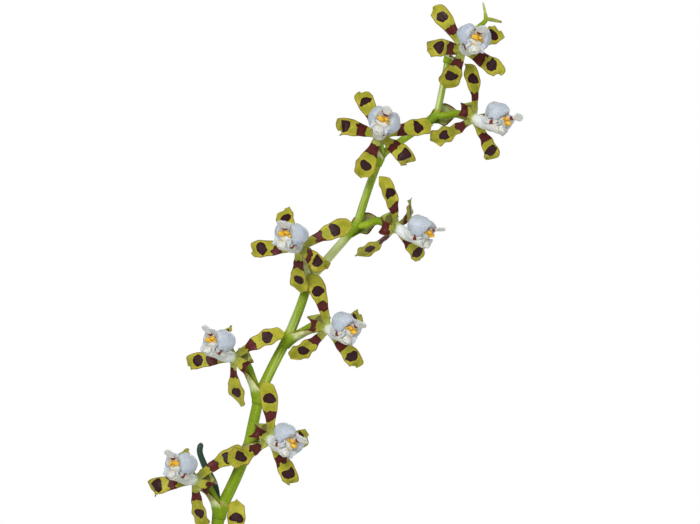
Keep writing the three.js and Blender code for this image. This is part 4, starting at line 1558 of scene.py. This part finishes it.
@dataclass(frozen=True)
class Spray:
    """The flowering stem: a bare foot, then a zigzag with a bloom at each bend."""

    foot: Sequence[Point3] = (
        (-3, 6, 84.5), (-7, -4, 90), (-14, -10.5, 110), (-18.5, -11, 138),
        (-15.5, -6, 190), (-6.8, -1, 230), (-3.5, 0, 248.5),
    )
    # (length, lean towards +X, how silvery it is) of each stretch above a bend
    internodes: Sequence[Point3] = (
        (20, 6, 0), (19.5, 22, 0), (19, 13, 0.1), (19.5, 24, 0.15), (17, 12, 0.2), (19, 27, 0.3),
        (18, 20, 0.35), (21.5, 41, 0.55), (22.5, 19, 0.38), (20.5, 55, 0.35), (19.5, 11, 0.5),
        (14.5, 50, 0.45), (5.5, -10, 0),
    )
    # (from the node to the star, turn, tilt, roll, how far its right and left petals roll back)
    blooms: Sequence[tuple[Point3, float, float, float, Pair]] = (
        ((6, -11.5, 3), -5, -5, -50, (60, 55)),
        ((-10.5, -3, 8), -50, 25, 15, (60, 50)),
        ((8.5, -10, 5), 10, -5, -50, (50, 60)),
        ((-7.5, -4, 8.5), -35, 20, 5, (205, 60)),
        ((7, -14, 4), 30, -10, -45, (40, 205)),
        ((-7.5, -4.5, 10.5), -40, 20, 0, (205, 35)),
        ((11.5, -4.6, 2.5), 35, -10, -30, (35, 205)),
        ((-2.5, -11, 9.5), -25, 10, -10, (88, 40)),
        ((11.5, -3, -0.5), 60, -20, -15, (8, 205)),
        ((-0.5, -12.5, 5), 0, 10, -25, (84, 84)),
        ((10.5, -4, -1), 50, -15, -40, (50, 205)),
        ((3.5, -12, -0.5), 15, 0, -15, (40, 72)),
    )
    foot_radius: float = 2.5
    first_radius: float = 2.1  # at the lowest bloom
    last_radius: float = 0.95  # at the highest
    tip_radius: float = 0.26
    foot_steps: int = 90
    corner: float = 0.1  # share of a stretch that is rounded off at a bend
    sheaths: Sequence[float] = (0.3, 0.62)  # shares of the bare foot's length
    turned_back: Sequence[int] = (8, 10)  # blooms whose scale opens to the front

    def nodes(self) -> list[Vector]:
        """The bends of the zigzag, from the lowest bloom's up to the tip.

        Returns:
            The bends.
        """
        nodes = [Vector(self.foot[-1])]
        for length, lean, _ in self.internodes:
            nodes.append(nodes[-1] + compass(0, 90 - lean) * length)
        return nodes

    def path(self) -> list[Vector]:
        """The stem's middle line, with its bends rounded.

        Returns:
            Its points, foot to tip.
        """
        nodes, corner = self.nodes(), self.corner
        points = Bend(self.foot).points(self.foot_steps)[:-1]
        for i, (node, beyond) in enumerate(zip(nodes, nodes[1:])):
            after = node.lerp(beyond, corner)
            if i:
                before = node.lerp(nodes[i - 1], corner)
                points += [before.lerp(node, u / 6).lerp(node.lerp(after, u / 6), u / 6) for u in range(7)]
            else:
                points += [node, after]
            sway = Vector((cos(i * 2.0), sin(i * 2.7), 0)) * 0.25
            for u in (k / 14 for k in range(1, 14)):
                straight = after.lerp(beyond, u * (1 - corner) / (1 - corner / 2))
                points.append(straight + sway * sin(pi * u))
        return [*points, nodes[-1]]

    def stem(self) -> Rows:
        """Rings of knots round the stem, swollen a little at each bend.

        Returns:
            The rings, foot to tip.
        """
        path = self.path()
        reach = reaches(path)
        bends = [min(zip(path, reach), key=lambda on, n=node: (on[0] - n).length)[1] for node in self.nodes()]
        flowers = len(self.blooms) - 1
        radii = [(0.0, self.foot_radius)]
        for i, at in enumerate(bends):
            grown_to = lerp(self.first_radius, self.last_radius, min(1.0, i / flowers))
            radii.append((at, lerp(grown_to, self.tip_radius, min(1.0, max(0.0, (i - flowers) / 2)))))
        rings = [*bends[:-1], *(reach[int(share * self.foot_steps)] for share in self.sheaths)]

        def near(at: float, above: float, spread: float) -> float:
            """1 at a set distance above the nearest bend or scar."""
            return max(bell(at, ring + above, spread) for ring in rings)

        def radius(at: float, angle: float) -> float:
            """The stem's radius, a little grooved and swollen at its bends."""
            swollen = 0.13 * near(at, -0.4, 1.5) + 0.05 * near(at, 0.9, 0.35)
            return level(radii, at) * (1 + swollen + 0.025 * cos(5 * angle + at * 0.03))

        def marks(at: float, _: float) -> Point3:
            """Deep green under each bend, silver above it, and a brown ring; the tip is spent."""
            spent = ease(at, bends[-2], reach[-1])
            k, silver = bisect_right(bends, at) - 1, 0.0
            if 0 <= k < len(self.internodes):
                share = (at - bends[k]) / (bends[k + 1] - bends[k])
                silver = self.internodes[k][2] * ease(share, 0, 0.1) * ease(share, 1, 0.7)
            deep = max(0.6 * near(at, -1.8, 1.9), 0.3 * ease(at, bends[5], bends[3]))
            brown = max(0.55 * near(at, 1.3, 0.22), 0.35 * spent)
            return deep, max(silver, 0.55 * ease(spent, 0, 0.4)), brown

        return tube(path, radius, 20, marks)

    def scale(
        self, line: Bow, radii: Table, wraps: Table, down: Vector, seed: int, thick: float = 0.34
    ) -> Rows:
        """A papery scale that clasps a stem and narrows to a free tip.

        Args:
            line: The line that it follows, to its tip.
            radii: (share of its length, distance from the line).
            wraps: (share of its length, degrees that it reaches round each way).
            down: The side of the line that its middle is on.
            seed: Sets how its edge wanders.
            thick: Thickness at its middle.

        Returns:
            Its rows, foot to tip.
        """

        def knot(u: float, s: float) -> Knot:
            """A knot of the scale."""
            forward, radius, angle = line.heading(u), level(radii, u), radians(s * level(wraps, u))
            under = (down - forward * down.dot(forward)).normalized()
            out = under * cos(angle) + forward.cross(under) * sin(angle)
            at = line.point(u) + out * (radius + 0.12 * sin(u * 15 + seed + s * 2) * s * s)
            at += under * (0.18 * bell(s, 0, 0.16) * ease(u, 0.3, 1))
            brown = 0.4 * ease(u, 0.3, 0.85) + 0.5 * ease(u, 0.92, 1)
            brown += 0.9 * ease(abs(s), 0.77, 1) * ease(u, 0.12, 0.4)
            marks = (0.25 * (1 - u), 0.1 + 0.55 * ease(u, 0.12, 0.5), brown)
            return Knot(at, thick * (1 - 0.5 * s * s), (angle * radius, seed * 4.1, u * 10), marks)

        return grid(20, 6, knot)

    def bract(self, i: int, bloom: Bloom, nodes: Sequence[Vector]) -> Rows:
        """The scale that clasps a bloom's stalk.

        Args:
            i: Which bend it is at, from 0.
            bloom: The bloom there.
            nodes: The bends.

        Returns:
            Its rows, foot to tip.
        """
        node, stalk = nodes[i], bloom.stalk()
        beyond = (nodes[i + 1] - node).normalized()
        below = (nodes[i - 1] - node).normalized() if i else -UP
        line = Bow(node + below * 3.4, node - below * 0.6, stalk.point(0.5), stalk.point(0.94))
        down = Vector(bloom.offset).normalized() * 0.8 - beyond + Vector((0, -0.4, 0))
        thick = lerp(self.first_radius, self.last_radius, i / len(self.blooms))
        radii = ((0, thick + 0.1), (0.25, thick + 0.35), (0.5, 1.9), (0.8, 1.8), (1, 2.7))
        wraps = ((0, 150), (0.2, 114), (0.42, 78), (0.72, 46), (0.9, 20), (1, 2))
        if i in self.turned_back:
            down = Vector((0, 1, 0.3))
            radii = ((0, thick + 0.1), (0.15, thick + 0.3), (0.28, 2.9), (0.5, 3.5), (0.8, 3.1), (1, 2.7))
            wraps = ((0, 150), (0.12, 112), (0.26, 58), (0.45, 74), (0.72, 46), (0.9, 18), (1, 2))
        return self.scale(line, radii, wraps, down, i)

    def sheath(self, share: float, seed: int) -> Rows:
        """A longer scale on the bare foot of the stem.

        Args:
            share: Where it starts, as a share of the foot's length.
            seed: Sets how its edge wanders.

        Returns:
            Its rows, foot to tip.
        """
        curve = Bend(self.foot)
        start, end = curve.point(share), curve.point(share + 0.14)
        line = Bow(start, start.lerp(end, 0.35), start.lerp(end, 0.7), end + Vector((-1.6, -2.4, 0)))
        radii = ((0, 2.3), (0.3, 3.0), (0.7, 2.9), (1, 2.0))
        wraps = ((0, 150), (0.3, 120), (0.7, 72), (0.92, 26), (1, 5))
        return self.scale(line, radii, wraps, Vector((-1, -1, 0)), seed, 0.45)

    def tip_scale(self, node: Vector) -> Rows:
        """The scale under the stem's spent tip.

        Args:
            node: The bend that it grows from.

        Returns:
            Its rows, foot to tip.
        """
        across = Vector((0, -1, 0.3)).normalized()
        outline = ((0, 0.5), (0.35, 1.0), (0.7, 0.7), (1, 0.1))

        def knot(u: float, s: float) -> Knot:
            """A knot of the scale."""
            middle = node + Vector((lerp(-0.6, 4.6, u), 0, 0.3 - u * 0.9))
            at = middle + across * (s * level(outline, u)) + UP * (0.5 * s * s)
            return Knot(at, 0.3, (s, 3, u * 6), (0, 0.4, 0.2 + 0.5 * ease(u, 0.6, 1)))

        return grid(12, 4, knot)

    def build(self) -> None:
        """Makes the stem, its stalks and scales, and the blooms."""
        nodes, blooms = self.nodes(), []
        for i, facing in enumerate(self.blooms):
            blooms.append(Bloom(i + 1, nodes[i], *facing, size=lerp(1.0, 0.92, max(0.0, (i - 9) / 2))))
        stem, stalks, scales = Draft(), Draft(), Draft()
        stem.skin(self.stem())
        for i, bloom in enumerate(blooms):
            stalks.skin(bloom.stalk_skin())
            scales.sheet(self.bract(i, bloom, nodes))
        for seed, share in enumerate(self.sheaths):
            scales.sheet(self.sheath(share, 20 + seed))
        scales.sheet(self.tip_scale(nodes[len(blooms)]))
        for name, draft in (("zigzag_stem", stem), ("bloom_stalks", stalks), ("papery_scales", scales)):
            draft.seat(name, "spike", STEM)
        for bloom in blooms:
            bloom.build()


# Leaves and bulbs


@dataclass(frozen=True)
class StrapLeaf:
    """A strap leaf, folded at its foot and arching over."""

    node: str
    foot: Point3
    heading: float
    climb: Pair  # above the horizon, at the foot and at the tip
    length: float
    half_width: float
    age: float = 0.1
    sunk: float = 1.6  # how far its foot goes into what it grows from
    outline: Table = (
        (0, 0.24), (0.12, 0.44), (0.3, 0.86), (0.52, 1), (0.74, 0.86), (0.9, 0.5), (0.98, 0.16), (1, 0.04),
    )
    fold: Pair = (62, 16)

    def rows(self, seed: int) -> Rows:
        """The leaf's middle surface.

        Args:
            seed: Sets how its edges wander.

        Returns:
            Its rows, foot to tip.
        """
        roll = Dice(seed * 97 + 5)
        phase, sway = roll() * 6, roll.spread(1.0)

        def way(t: float) -> Vector:
            """The way that the leaf runs."""
            return compass(self.heading, lerp(*self.climb, t**1.35))

        rows, start = [], Vector(self.foot) - way(0) * self.sunk
        for t, spine, forward in grown(start, way, self.length, 140, self.sunk):
            rounding = sqrt(max(0.0, 1 - (max(0.0, t - 0.975) / 0.0255) ** 2))
            half = self.half_width * level(self.outline, t) * max(0.05, rounding)
            fold = radians(lerp(*self.fold, min(1, t * 3)))
            lean, across = turn_about(forward, 5 * sway * sin(t * 4)), compass(self.heading - 90)
            wide, above = lean @ across, lean @ across.cross(forward)
            row = []
            for s in columns(7):
                soft = (sqrt(s * s + 0.012) - 0.11) / (sqrt(1.012) - 0.11)
                ripple = 0.05 * half * abs(s) ** 3 * sin(t * 19 + phase + (1.3 if s > 0 else 0))
                at = spine + wide * (s * half * cos(fold)) + above * (soft * half * sin(fold) + ripple)
                thick = (1.0 - 0.6 * abs(s) ** 1.5) * (1 - 0.3 * t) + 0.3 * bell(s, 0, 0.1) * (1 - t)
                row.append(Knot(at, thick, (s * half, seed * 23.0, t * self.length), (abs(s), t, self.age)))
            rows.append(row)
        return rows

    def build(self, seed: int) -> None:
        """Makes the leaf.

        Args:
            seed: Sets how its edge wanders.
        """
        draft = Draft()
        draft.sheet(self.rows(seed))
        draft.seat(f"{self.node}_blade", self.node, LEAF)


@dataclass(frozen=True)
class Bulb:
    """A ridged, flattened bulb with dry husks round its foot and leaves on its top."""

    node: str
    foot: Point3
    height: float
    half_width: float
    half_depth: float
    turn: float
    age: float
    leaves: Sequence[tuple[str, float, Pair, float, float, float]]  # name, heading, climb, sizes, age
    # facing, share of the height, wrap
    husks: Sequence[Point3] = ((200, 0.5, 100), (20, 0.36, 92), (290, 0.27, 85))
    profile: Table = ((0, 0.42), (0.13, 0.74), (0.34, 1), (0.56, 0.95), (0.76, 0.74), (0.9, 0.5), (1, 0.38))
    ridges: int = 6

    def surface(self, angle: float, t: float, extra: float = 0.0) -> Vector:
        """A point on the bulb's skin.

        Args:
            angle: Round the bulb, in radians.
            t: Share of its height.
            extra: How far off the skin.

        Returns:
            The point.
        """
        x, y = cos(angle), sin(angle)
        share = level(self.profile, t) * (1 - 0.05 * cos(self.ridges * angle) - 0.012 * cos(17 * angle))
        share *= 1 + 0.02 * noise.noise(Vector((x * 2, y * 2, t * 5 + self.turn)))
        wide, deep = share * self.half_width + extra, share * self.half_depth + extra
        return turn_about("Z", -self.turn) @ Vector((x * wide, y * deep, t * self.height)) + Vector(self.foot)

    def body(self) -> Rows:
        """The bulb's rings, closed by a low dome.

        Returns:
            The rings, foot to top.
        """
        middle, steps, sides, rows = Vector(self.foot), 40, 54, []
        for t in (i / steps for i in range(steps + 1)):
            row = []
            for angle in (FULL_TURN * k / sides for k in range(sides)):
                at = self.surface(angle, t)
                furrow = (0.5 + 0.5 * cos(self.ridges * angle)) * bell(t, 0.45, 0.4)
                row.append(Knot(at, place=at - middle, marks=(furrow, t, self.age)))
            rows.append(row)
        top, last, marks = middle + UP * self.height, rows[-1], (0, 1, self.age)
        for share, rise in ((0.8, 0.5), (0.45, 0.8), (0.05, 0.9)):
            rows.append([replace(k, at=top + (k.at - top) * share + UP * rise, marks=marks) for k in last])
        return rows

    def husk(self, facing: float, height: float, wrap: float, seed: int) -> Rows:
        """A dry sheath that still clings to the bulb's foot.

        Args:
            facing: The way that its middle faces, round the bulb.
            height: Share of the bulb's height that it reaches.
            wrap: Degrees that it reaches round each way at its foot.
            seed: Sets how its edge is torn.

        Returns:
            Its rows, foot to tip.
        """
        wraps = ((0, 1.0), (0.3, 0.9), (0.6, 0.58), (0.85, 0.24), (1, 0.02))

        def knot(u: float, s: float) -> Knot:
            """A knot of the sheath."""
            frayed = 1 + 0.22 * noise.noise(Vector((u * 7, seed * 3.1 + facing, s * 1.5)))
            angle = radians(facing + s * wrap * level(wraps, u) * frayed)
            off = 0.55 + 0.14 * seed + 1.5 * u**3 + 0.25 * noise.noise(Vector((s * 3, u * 5, seed * 7.7)))
            torn = ease(u, 0.8, 1) * 0.6 + ease(abs(s), 0.93, 1) * 0.4
            at = self.surface(angle, u * height - 0.02, off)
            return Knot(at, 0.3, (s * wrap * 0.2, seed * 9.0, u * 26), (0, 0, torn))

        return grid(22, 12, knot)

    def build(self, seed: int) -> None:
        """Makes the bulb with its husks, and the leaves on its top.

        Args:
            seed: Sets how its husks are turned and how its leaves' edges wander.
        """
        draft = Draft()
        draft.skin(self.body())
        for k, (facing, height, wrap) in enumerate(self.husks):
            draft.sheet(self.husk(facing + seed * 40, height, wrap, k), finish=1)
        draft.seat(f"{self.node}_skin", self.node, BULB, HUSK)
        top = Vector(self.foot) + UP * (self.height + 0.8)
        for k, (name, heading, *form) in enumerate(self.leaves):
            StrapLeaf(name, tuple(top + compass(heading) * 3.4), heading, *form).build(seed * 3 + k)


@dataclass(frozen=True)
class Shoot:
    """The new growth: a swollen foot in folded blades."""

    foot: Point3 = (35.5, -2, 87)
    bulge: Point3 = (4.6, 3.6, 8)
    # (heading, climb, length, half width) of each blade
    blades: Sequence[tuple[float, Pair, float, float]] = (
        (8, (74, 10), 86, 6),
        (-168, (88, 60), 62, 5),
        (-30, (52, -22), 58, 5),
    )

    def build(self) -> None:
        """Makes the shoot."""
        foot, draft = Vector(self.foot), Draft()
        rings = egg(foot + UP * 6, self.bulge, 28, 20, 0.05, lambda at: (0.5, 0.2, 0.05))
        for knot in (knot for ring in rings for knot in ring):
            knot.place = knot.at - foot
        draft.skin(rings)
        for k, blade in enumerate(self.blades):
            draft.sheet(StrapLeaf("new_shoot", tuple(foot + UP * 8), *blade, age=0.0, sunk=3).rows(40 + k))
        draft.seat("new_shoot_blades", "new_shoot", LEAF)


@dataclass(frozen=True)
class Rhizome:
    """The creeping stem that joins the bulbs, and the roots that leave it."""

    through: Sequence[Point3] = ((-42, 14.5, 86), (-37, 13, 85), (-13, 7, 84), (15, 3, 84), (36, -2, 85))
    radius: float = 4.2
    root_radius: float = 1.7
    hung_from: float = 45.0  # a root that ends further out than this hangs free
    roots: Sequence[Sequence[Point3]] = (
        (
            (24, 1, 85), (33, -11, 90), (44, -18, 98), (53, -21, 99.2),
            (57.5, -23, 92), (56.5, -22, 76), (53, -21, 60),
        ),
        ((-40, 14, 86), (-45, 8, 91), (-50.5, 0, 98.4), (-57.2, -5, 97.8), (-60, -6, 86), (-57, -9, 72)),
        ((2, 5, 84), (-3, -14, 89), (-9, -25, 88), (-12, -31, 83), (-12, -33, 74)),
        ((22, 1, 84), (29, 14, 88.5), (30, 26, 87), (27, 32, 80), (25, 33, 72)),
        ((-20, 8, 84), (-24, 20, 89), (-18, 31, 87), (-12, 35, 80), (-10, 36, 72)),
    )

    def root(self, through: Sequence[Point3], seed: int) -> Rows:
        """One root, a little knotty, with a green tip where it hangs free.

        Args:
            through: The points that it goes through.
            seed: Sets its lumps.

        Returns:
            Its rings.
        """
        path = Bend(through).points(70)
        long, buried = reaches(path)[-1], hypot(*through[-1][:2]) < self.hung_from

        def radius(at: float, angle: float) -> float:
            """The root's radius."""
            lumps = noise.noise(Vector((at * 0.16, seed * 5.0, 0))) * 0.14 + 0.05 * cos(2 * angle + seed)
            return self.root_radius * (1 + lumps) * (1 - 0.75 * ease(at, long - 3.2, long) ** 2)

        def marks(at: float, _: float) -> Point3:
            """Tip, soil and brown masks."""
            soil = 0.6 * ease(at, 8, 0) + (ease(at, long - 22, long - 8) if buried else 0.0)
            return (0.0 if buried else ease(at, long - 11, long - 4)), soil, 0.0

        return tube(path, radius, 16, marks, offset=seed * 57.0)

    def creeping_stem(self) -> Rows:
        """The rhizome, ringed every few millimetres.

        Returns:
            Its rings.
        """

        def radius(at: float, angle: float) -> float:
            """The rhizome's radius."""
            ring = 0.07 * cos(at * 1.1) + 0.05 * noise.noise(Vector((at * 0.2, cos(angle), sin(angle))))
            return self.radius * (0.96 + ring)

        path = Bend(self.through).points(90)
        return tube(path, radius, 22, lambda at, _: (0.0, 0.5, 0.35 + 0.35 * cos(at * 1.1)))

    def build(self) -> None:
        """Makes the rhizome and its roots."""
        draft = Draft()
        draft.skin(self.creeping_stem())
        for seed, through in enumerate(self.roots):
            draft.skin(self.root(through, seed + 1))
        draft.seat("rhizome_and_roots", "rhizome_roots", ROOT)


# Pot and bark


@dataclass(frozen=True)
class BarkBed:
    """Loose bark heaped in the pot."""

    top: float = 85.0
    radius: float = 48.0
    chips: int = 190
    seed: int = 5
    # (place along a chip, share of its section there)
    slab: Table = ((-1, 0.5), (-0.86, 0.9), (-0.3, 1.0), (0.35, 0.97), (0.84, 0.85), (1, 0.45))

    def chip(self, roll: Dice, middle: Vector) -> Rows:
        """One chip: a broken slab with a fibrous grain along it.

        Args:
            roll: Sets its size and how it lies.
            middle: Where it lies.

        Returns:
            Its rings.
        """
        size = Vector((3.4 + 3.2 * roll(), 1.8 + 1.8 * roll(), 5 + 5 * roll())) * (0.8 + 0.35 * roll())
        lie = turn_about("Z", roll() * 360) @ turn_about("X", 90 + roll.spread(26))
        lie = lie @ Matrix.Rotation(roll.spread(0.5), 3, "Z")
        tone, mossy = roll(), max(0.0, roll() - 0.6)
        rows = []
        for z, share in self.slab:
            row = []
            for k in range(8):
                corner = compass(45 * (k + 0.5 + roll.spread(0.2)))
                corner *= share / max(abs(corner.x), abs(corner.y)) ** 0.75
                local = Vector((corner.x * size.x, corner.y * size.y, size.z * z)) * (1 + roll.spread(0.09))
                at = middle + lie @ local
                inside = min(1.0, self.radius / hypot(at.x, at.y))
                at.x, at.y = at.x * inside, at.y * inside
                marks = (tone, mossy, ease(abs(z), 0.8, 1))
                row.append(Knot(at, place=local + Vector((tone * 90, 0, 0)), marks=marks))
            rows.append(row)
        return rows

    def build(self) -> None:
        """Makes the bed and the chips on it."""
        roll, draft = Dice(self.seed), Draft()
        heap = ((40, 20), (47.2, 80), (self.radius, self.top - 2), (36, self.top - 1.2), (0.02, self.top))
        draft.skin(turned(heap, 48, 0.6, (0.2, 0.1, 0)))
        for i in range(self.chips):
            away = (self.radius - 4.5) * sqrt((i + 0.5) / self.chips)
            heading = i * 137.5 + roll.spread(12)
            height = self.top + 0.4 + roll() * 3.4 - 1.2 * ease(away, 34, self.radius)
            draft.skin(self.chip(roll, compass(heading) * away + UP * height))
        draft.seat("bark_chips_bed", "potting_bark", CHIPS, smooth=False)


@dataclass(frozen=True)
class Pot:
    """A plain turned clay pot with a deep rim."""

    height: float = 95.0
    foot_radius: float = 39.0
    body_radius: float = 50.0
    rim_radius: float = 55.0
    rim_depth: float = 15.0
    wall: float = 4.5
    base: float = 6.0
    rings: int = 44
    inner_rings: int = 12

    def profile(self) -> list[Pair]:
        """The wall's section, from the middle of the foot, up the outside and down the inside.

        Returns:
            (radius, height) points.
        """
        foot, body, rim, top = self.foot_radius, self.body_radius, self.rim_radius, self.height
        under, inner_foot = top - self.rim_depth, foot - self.wall
        points = [(0.02, 0.0), (foot - 3, 0.0), (foot - 0.9, 0.12), (foot - 0.25, 0.5), (foot, 1.1)]
        for i in range(1, self.rings):
            share = i / self.rings
            points.append((lerp(foot, body, share) + 0.1 * sin(i * 1.9), lerp(1.1, under - 0.4, share)))
        points += [(body, under - 0.3), (body + 0.5, under), (rim - 2.2, under), (rim - 1.5, under + 0.3)]
        points += [(rim - 1.15, under + 1.1), (rim - 0.9, under + 5), (rim - 0.45, under + 9.5)]
        points += [(rim, top - 2), (rim - 0.2, top - 0.8), (rim - 0.9, top - 0.2), (rim - 1.8, top)]
        inner = rim - self.wall
        points += [(inner + 0.5, top), (inner - 0.1, top - 0.4), (inner - 0.45, top - 1.4)]
        for share in (i / self.inner_rings for i in range(1, self.inner_rings)):
            points.append((lerp(inner - 0.5, inner_foot, share), lerp(top - 2, self.base + 2, share)))
        return [*points, (inner_foot - 0.8, self.base + 0.7), (inner_foot - 3, self.base), (0.02, self.base)]

    def build(self) -> None:
        """Makes the pot."""
        draft = Draft()
        draft.skin(turned(self.profile(), 128, 0.22))
        draft.seat("clay_pot", "pot", CLAY)


# Support


@dataclass(frozen=True)
class Stake:
    """A coated wire beside the stem, hooked in behind it."""

    radius: float = 1.3
    end_share: float = 0.7  # how thin its drawn-out end is, beside the rest
    through: Sequence[Point3] = (
        (4, -13, 14), (4, -13, 92), (5.6, 4.3, 284), (8.2, 4.4, 302),
        (7.5, 4.3, 311), (4.3, 4.2, 318), (3.2, 4.2, 321.5), (3.7, 4.2, 324),
    )

    def build(self) -> None:
        """Makes the stake."""
        path = Bend(self.through).points(150)
        long = reaches(path)[-1]

        def radius(at: float, angle: float) -> float:
            """Rounded at its end, with a faint moulding seam."""
            end = max(0.0, at - (long - self.radius)) / self.radius
            worn = lerp(1.0, self.end_share, ease(at, long - 16, long - 3))
            return self.radius * worn * sqrt(max(0.02, 1 - end * end)) * (1 + 0.03 * bell(angle, 1.2, 0.15))

        path = [*path[:-1], *(path[-2].lerp(path[-1], u / 8) for u in range(1, 9))]
        draft = Draft()
        draft.skin(tube(path, radius, 24))
        draft.seat("coated_stake", "stake", WIRE)


@dataclass(frozen=True)
class Tie:
    """A soft band round the stem and the stake."""

    at: Point3 = (4.35, 1.95, 279.8)
    turn: float = 60.0
    half_length: float = 2.25
    inner_radius: float = 3.0
    wall: float = 0.9
    height: float = 2.6
    sides: int = 16

    def middle_line(self) -> list[tuple[Vector, Vector]]:
        """The line round the middle of the band's wall.

        Returns:
            Points, each with its way out.
        """
        line, radius = [], self.inner_radius + self.wall / 2
        for side, start in ((1, -90), (-1, 90)):
            for way in (compass(start + 10 * k) for k in range(19)):
                line.append((Vector((side * self.half_length, 0, 0)) + way * radius, way))
            corner = line[-1][0]
            across = Vector((-2 * side * self.half_length, 0, 0))
            line += [(corner + across * (u / 5), Vector((0, side, 0))) for u in range(1, 5)]
        return line

    def build(self) -> None:
        """Makes the band."""
        rings, spin, draft = [], turn_about("Z", self.turn), Draft()
        for i, (at, way) in enumerate(self.middle_line()):
            ring = []
            for angle in (FULL_TURN * k / self.sides for k in range(self.sides)):
                x, y = cos(angle), sin(angle)
                square = 1 / max(abs(x), abs(y)) ** 0.7
                rise = y * square * self.height / 2 * (1 + 0.05 * sin(i * 0.9))
                local = at + way * (x * square * self.wall / 2) + UP * rise
                ring.append(Knot(spin @ local + Vector(self.at), place=local))
            rings.append(ring)
        draft.skin(rings, Ends.JOINED)
        draft.seat("soft_tie", "stem_tie", FOAM)


# Studio


@dataclass(frozen=True)
class Studio:
    """The pale floor, the soft lights and the camera, in metres."""

    camera_at: Point3 = (0.0486, -0.5833, 0.3786)
    lens: float = 100.0
    floor_radius: float = 1.6
    # name, place, size, watts, what it is turned to
    lights: Sequence[tuple[str, Point3, float, float, Point3]] = (
        ("key_softbox", (-0.3, -0.95, 0.9), 0.6, 9.5, (0.02, 0, 0.34)),
        ("fill_softbox", (0.8, -0.7, 0.4), 0.8, 2.0, (0.02, 0, 0.3)),
        ("back_softbox", (0.3, 0.9, 0.7), 0.7, 3.0, (0.02, 0, 0.3)),
    )
    ambient: float = 0.48
    mirrored: float = 0.12  # how bright the room is in what mirrors it

    def camera(self) -> None:
        """A long lens level with the upper spray, looking along +Y."""
        data = bpy.data.cameras.new("portrait_camera")
        data.lens, data.sensor_width = self.lens, 36.0
        data.clip_start, data.clip_end = 0.01, 50.0
        camera = placed("portrait_camera", data)
        camera.location = self.camera_at
        camera.rotation_euler = (radians(90), 0, 0)
        bpy.context.scene.camera = camera

    def light(self, name: str, at: Point3, size: float, watts: float, towards: Point3) -> None:
        """One softbox.

        Args:
            name: Its name.
            at: Its place.
            size: How wide it is.
            watts: How strong it is.
            towards: The point that it is turned to.
        """
        data = bpy.data.lights.new(name, "AREA")
        data.shape, data.size, data.energy = "DISK", size, watts
        lamp = placed(name, data)
        lamp.location = at
        lamp.rotation_euler = (Vector(towards) - Vector(at)).to_track_quat("-Z", "Y").to_euler()

    def backdrop(self) -> None:
        """White all round for the camera, and a softer white for what it lights."""
        world = bpy.data.worlds.new("white_room")
        bpy.context.scene.world = world
        world.use_nodes = True
        bench = Bench(world.node_tree)
        room = world.node_tree.nodes["Background"]
        room.inputs["Color"].default_value = (1, 1, 1, 1)
        path = bench.node("ShaderNodeLightPath")
        soft = bench.ramp(path.outputs["Is Glossy Ray"], 0.0, 1.0, self.ambient, self.mirrored)
        bench.feed(room.inputs["Strength"], bench.math("MAXIMUM", path.outputs["Is Camera Ray"], soft))

    def floor_material(self) -> bpy.types.Material:
        """A pale speckled surface that fades into the white further out.

        Returns:
            The material.
        """
        made = bpy.data.materials.new("pale_floor")
        made.use_nodes = True
        bench, shader = Bench(made.node_tree), made.node_tree.nodes["Principled BSDF"]
        place = bench.node("ShaderNodeTexCoord").outputs["Object"]
        speckle = bench.clouds(place, 90.0, 3.0)
        bench.feed(shader.inputs["Base Color"], bench.blend(speckle, (243, 243, 242), (236, 236, 235)))
        shader.inputs["Roughness"].default_value = 0.9
        glow = bench.node("ShaderNodeEmission", {"Strength": 1.0})
        away = bench.node("ShaderNodeVectorMath", [place], operation="LENGTH").outputs["Value"]
        shares = (bench.ramp(away, 0.25, self.floor_radius * 0.95), shader.outputs[0], glow.outputs[0])
        fade = bench.node("ShaderNodeMixShader", shares)
        bench.feed(made.node_tree.nodes["Material Output"].inputs[0], fade.outputs[0])
        return made

    def floor(self) -> None:
        """A pale round floor."""
        draft = Draft()
        draft.skin(turned([(self.floor_radius / MM * i / 12 + 0.02, -0.3) for i in range(13)], 96), Ends.OPEN)
        mesh = bpy.data.meshes.new("floor")
        mesh.from_pydata([knot.at * MM for knot in draft.knots], [], draft.faces)
        mesh.materials.append(self.floor_material())
        placed("floor", mesh)

    def build(self) -> None:
        """Sets up the studio."""
        self.camera()
        for light in self.lights:
            self.light(*light)
        self.backdrop()
        self.floor()
        bpy.context.scene.view_settings.view_transform = "Standard"


OLD_LEAF = (("leaf_1", 160, (66, -42), 165, 11, 0.55),)
MIDDLE_LEAVES = (("leaf_2a", 195, (74, -40), 205, 13, 0.15), ("leaf_2b", 64, (78, -22), 190, 12, 0.1))
YOUNG_LEAVES = (("leaf_3a", -74, (62, -52), 205, 13, 0.05), ("leaf_3b", 52, (76, -12), 180, 12, 0.05))
BULBS = (
    Bulb("pseudobulb_1", (-37, 13, 87), 44, 12, 7.5, 24, 0.75, OLD_LEAF),
    Bulb("pseudobulb_2", (-13, 7, 87), 58, 14, 8.5, 14, 0.35, MIDDLE_LEAVES),
    Bulb("pseudobulb_3", (15, 3, 87), 62, 14.5, 9, 6, 0.15, YOUNG_LEAVES),
)
BASAL_LEAVES = (
    StrapLeaf("basal_leaf_1", (-31, 1, 82.5), 246, (55, -30), 118, 8.5, age=0.3, sunk=0.2),
    StrapLeaf("basal_leaf_2", (11, -9, 82.5), -76, (60, -36), 125, 9, age=0.15, sunk=0.2),
    StrapLeaf("basal_leaf_3", (20, 16, 82.5), 58, (66, -26), 132, 9, age=0.1, sunk=0.2),
)


def main() -> None:
    """Builds the studio and every piece of the plant."""
    logging.basicConfig(level=logging.INFO, format="%(name)s %(message)s")
    Studio().build()
    Pot().build()
    BarkBed().build()
    Rhizome().build()
    for seed, bulb in enumerate(BULBS):
        bulb.build(seed)
    for seed, leaf in enumerate(BASAL_LEAVES):
        leaf.build(20 + seed)
    Shoot().build()
    Stake().build()
    Tie().build()
    Spray().build()


if __name__ == "__main__":
    main()
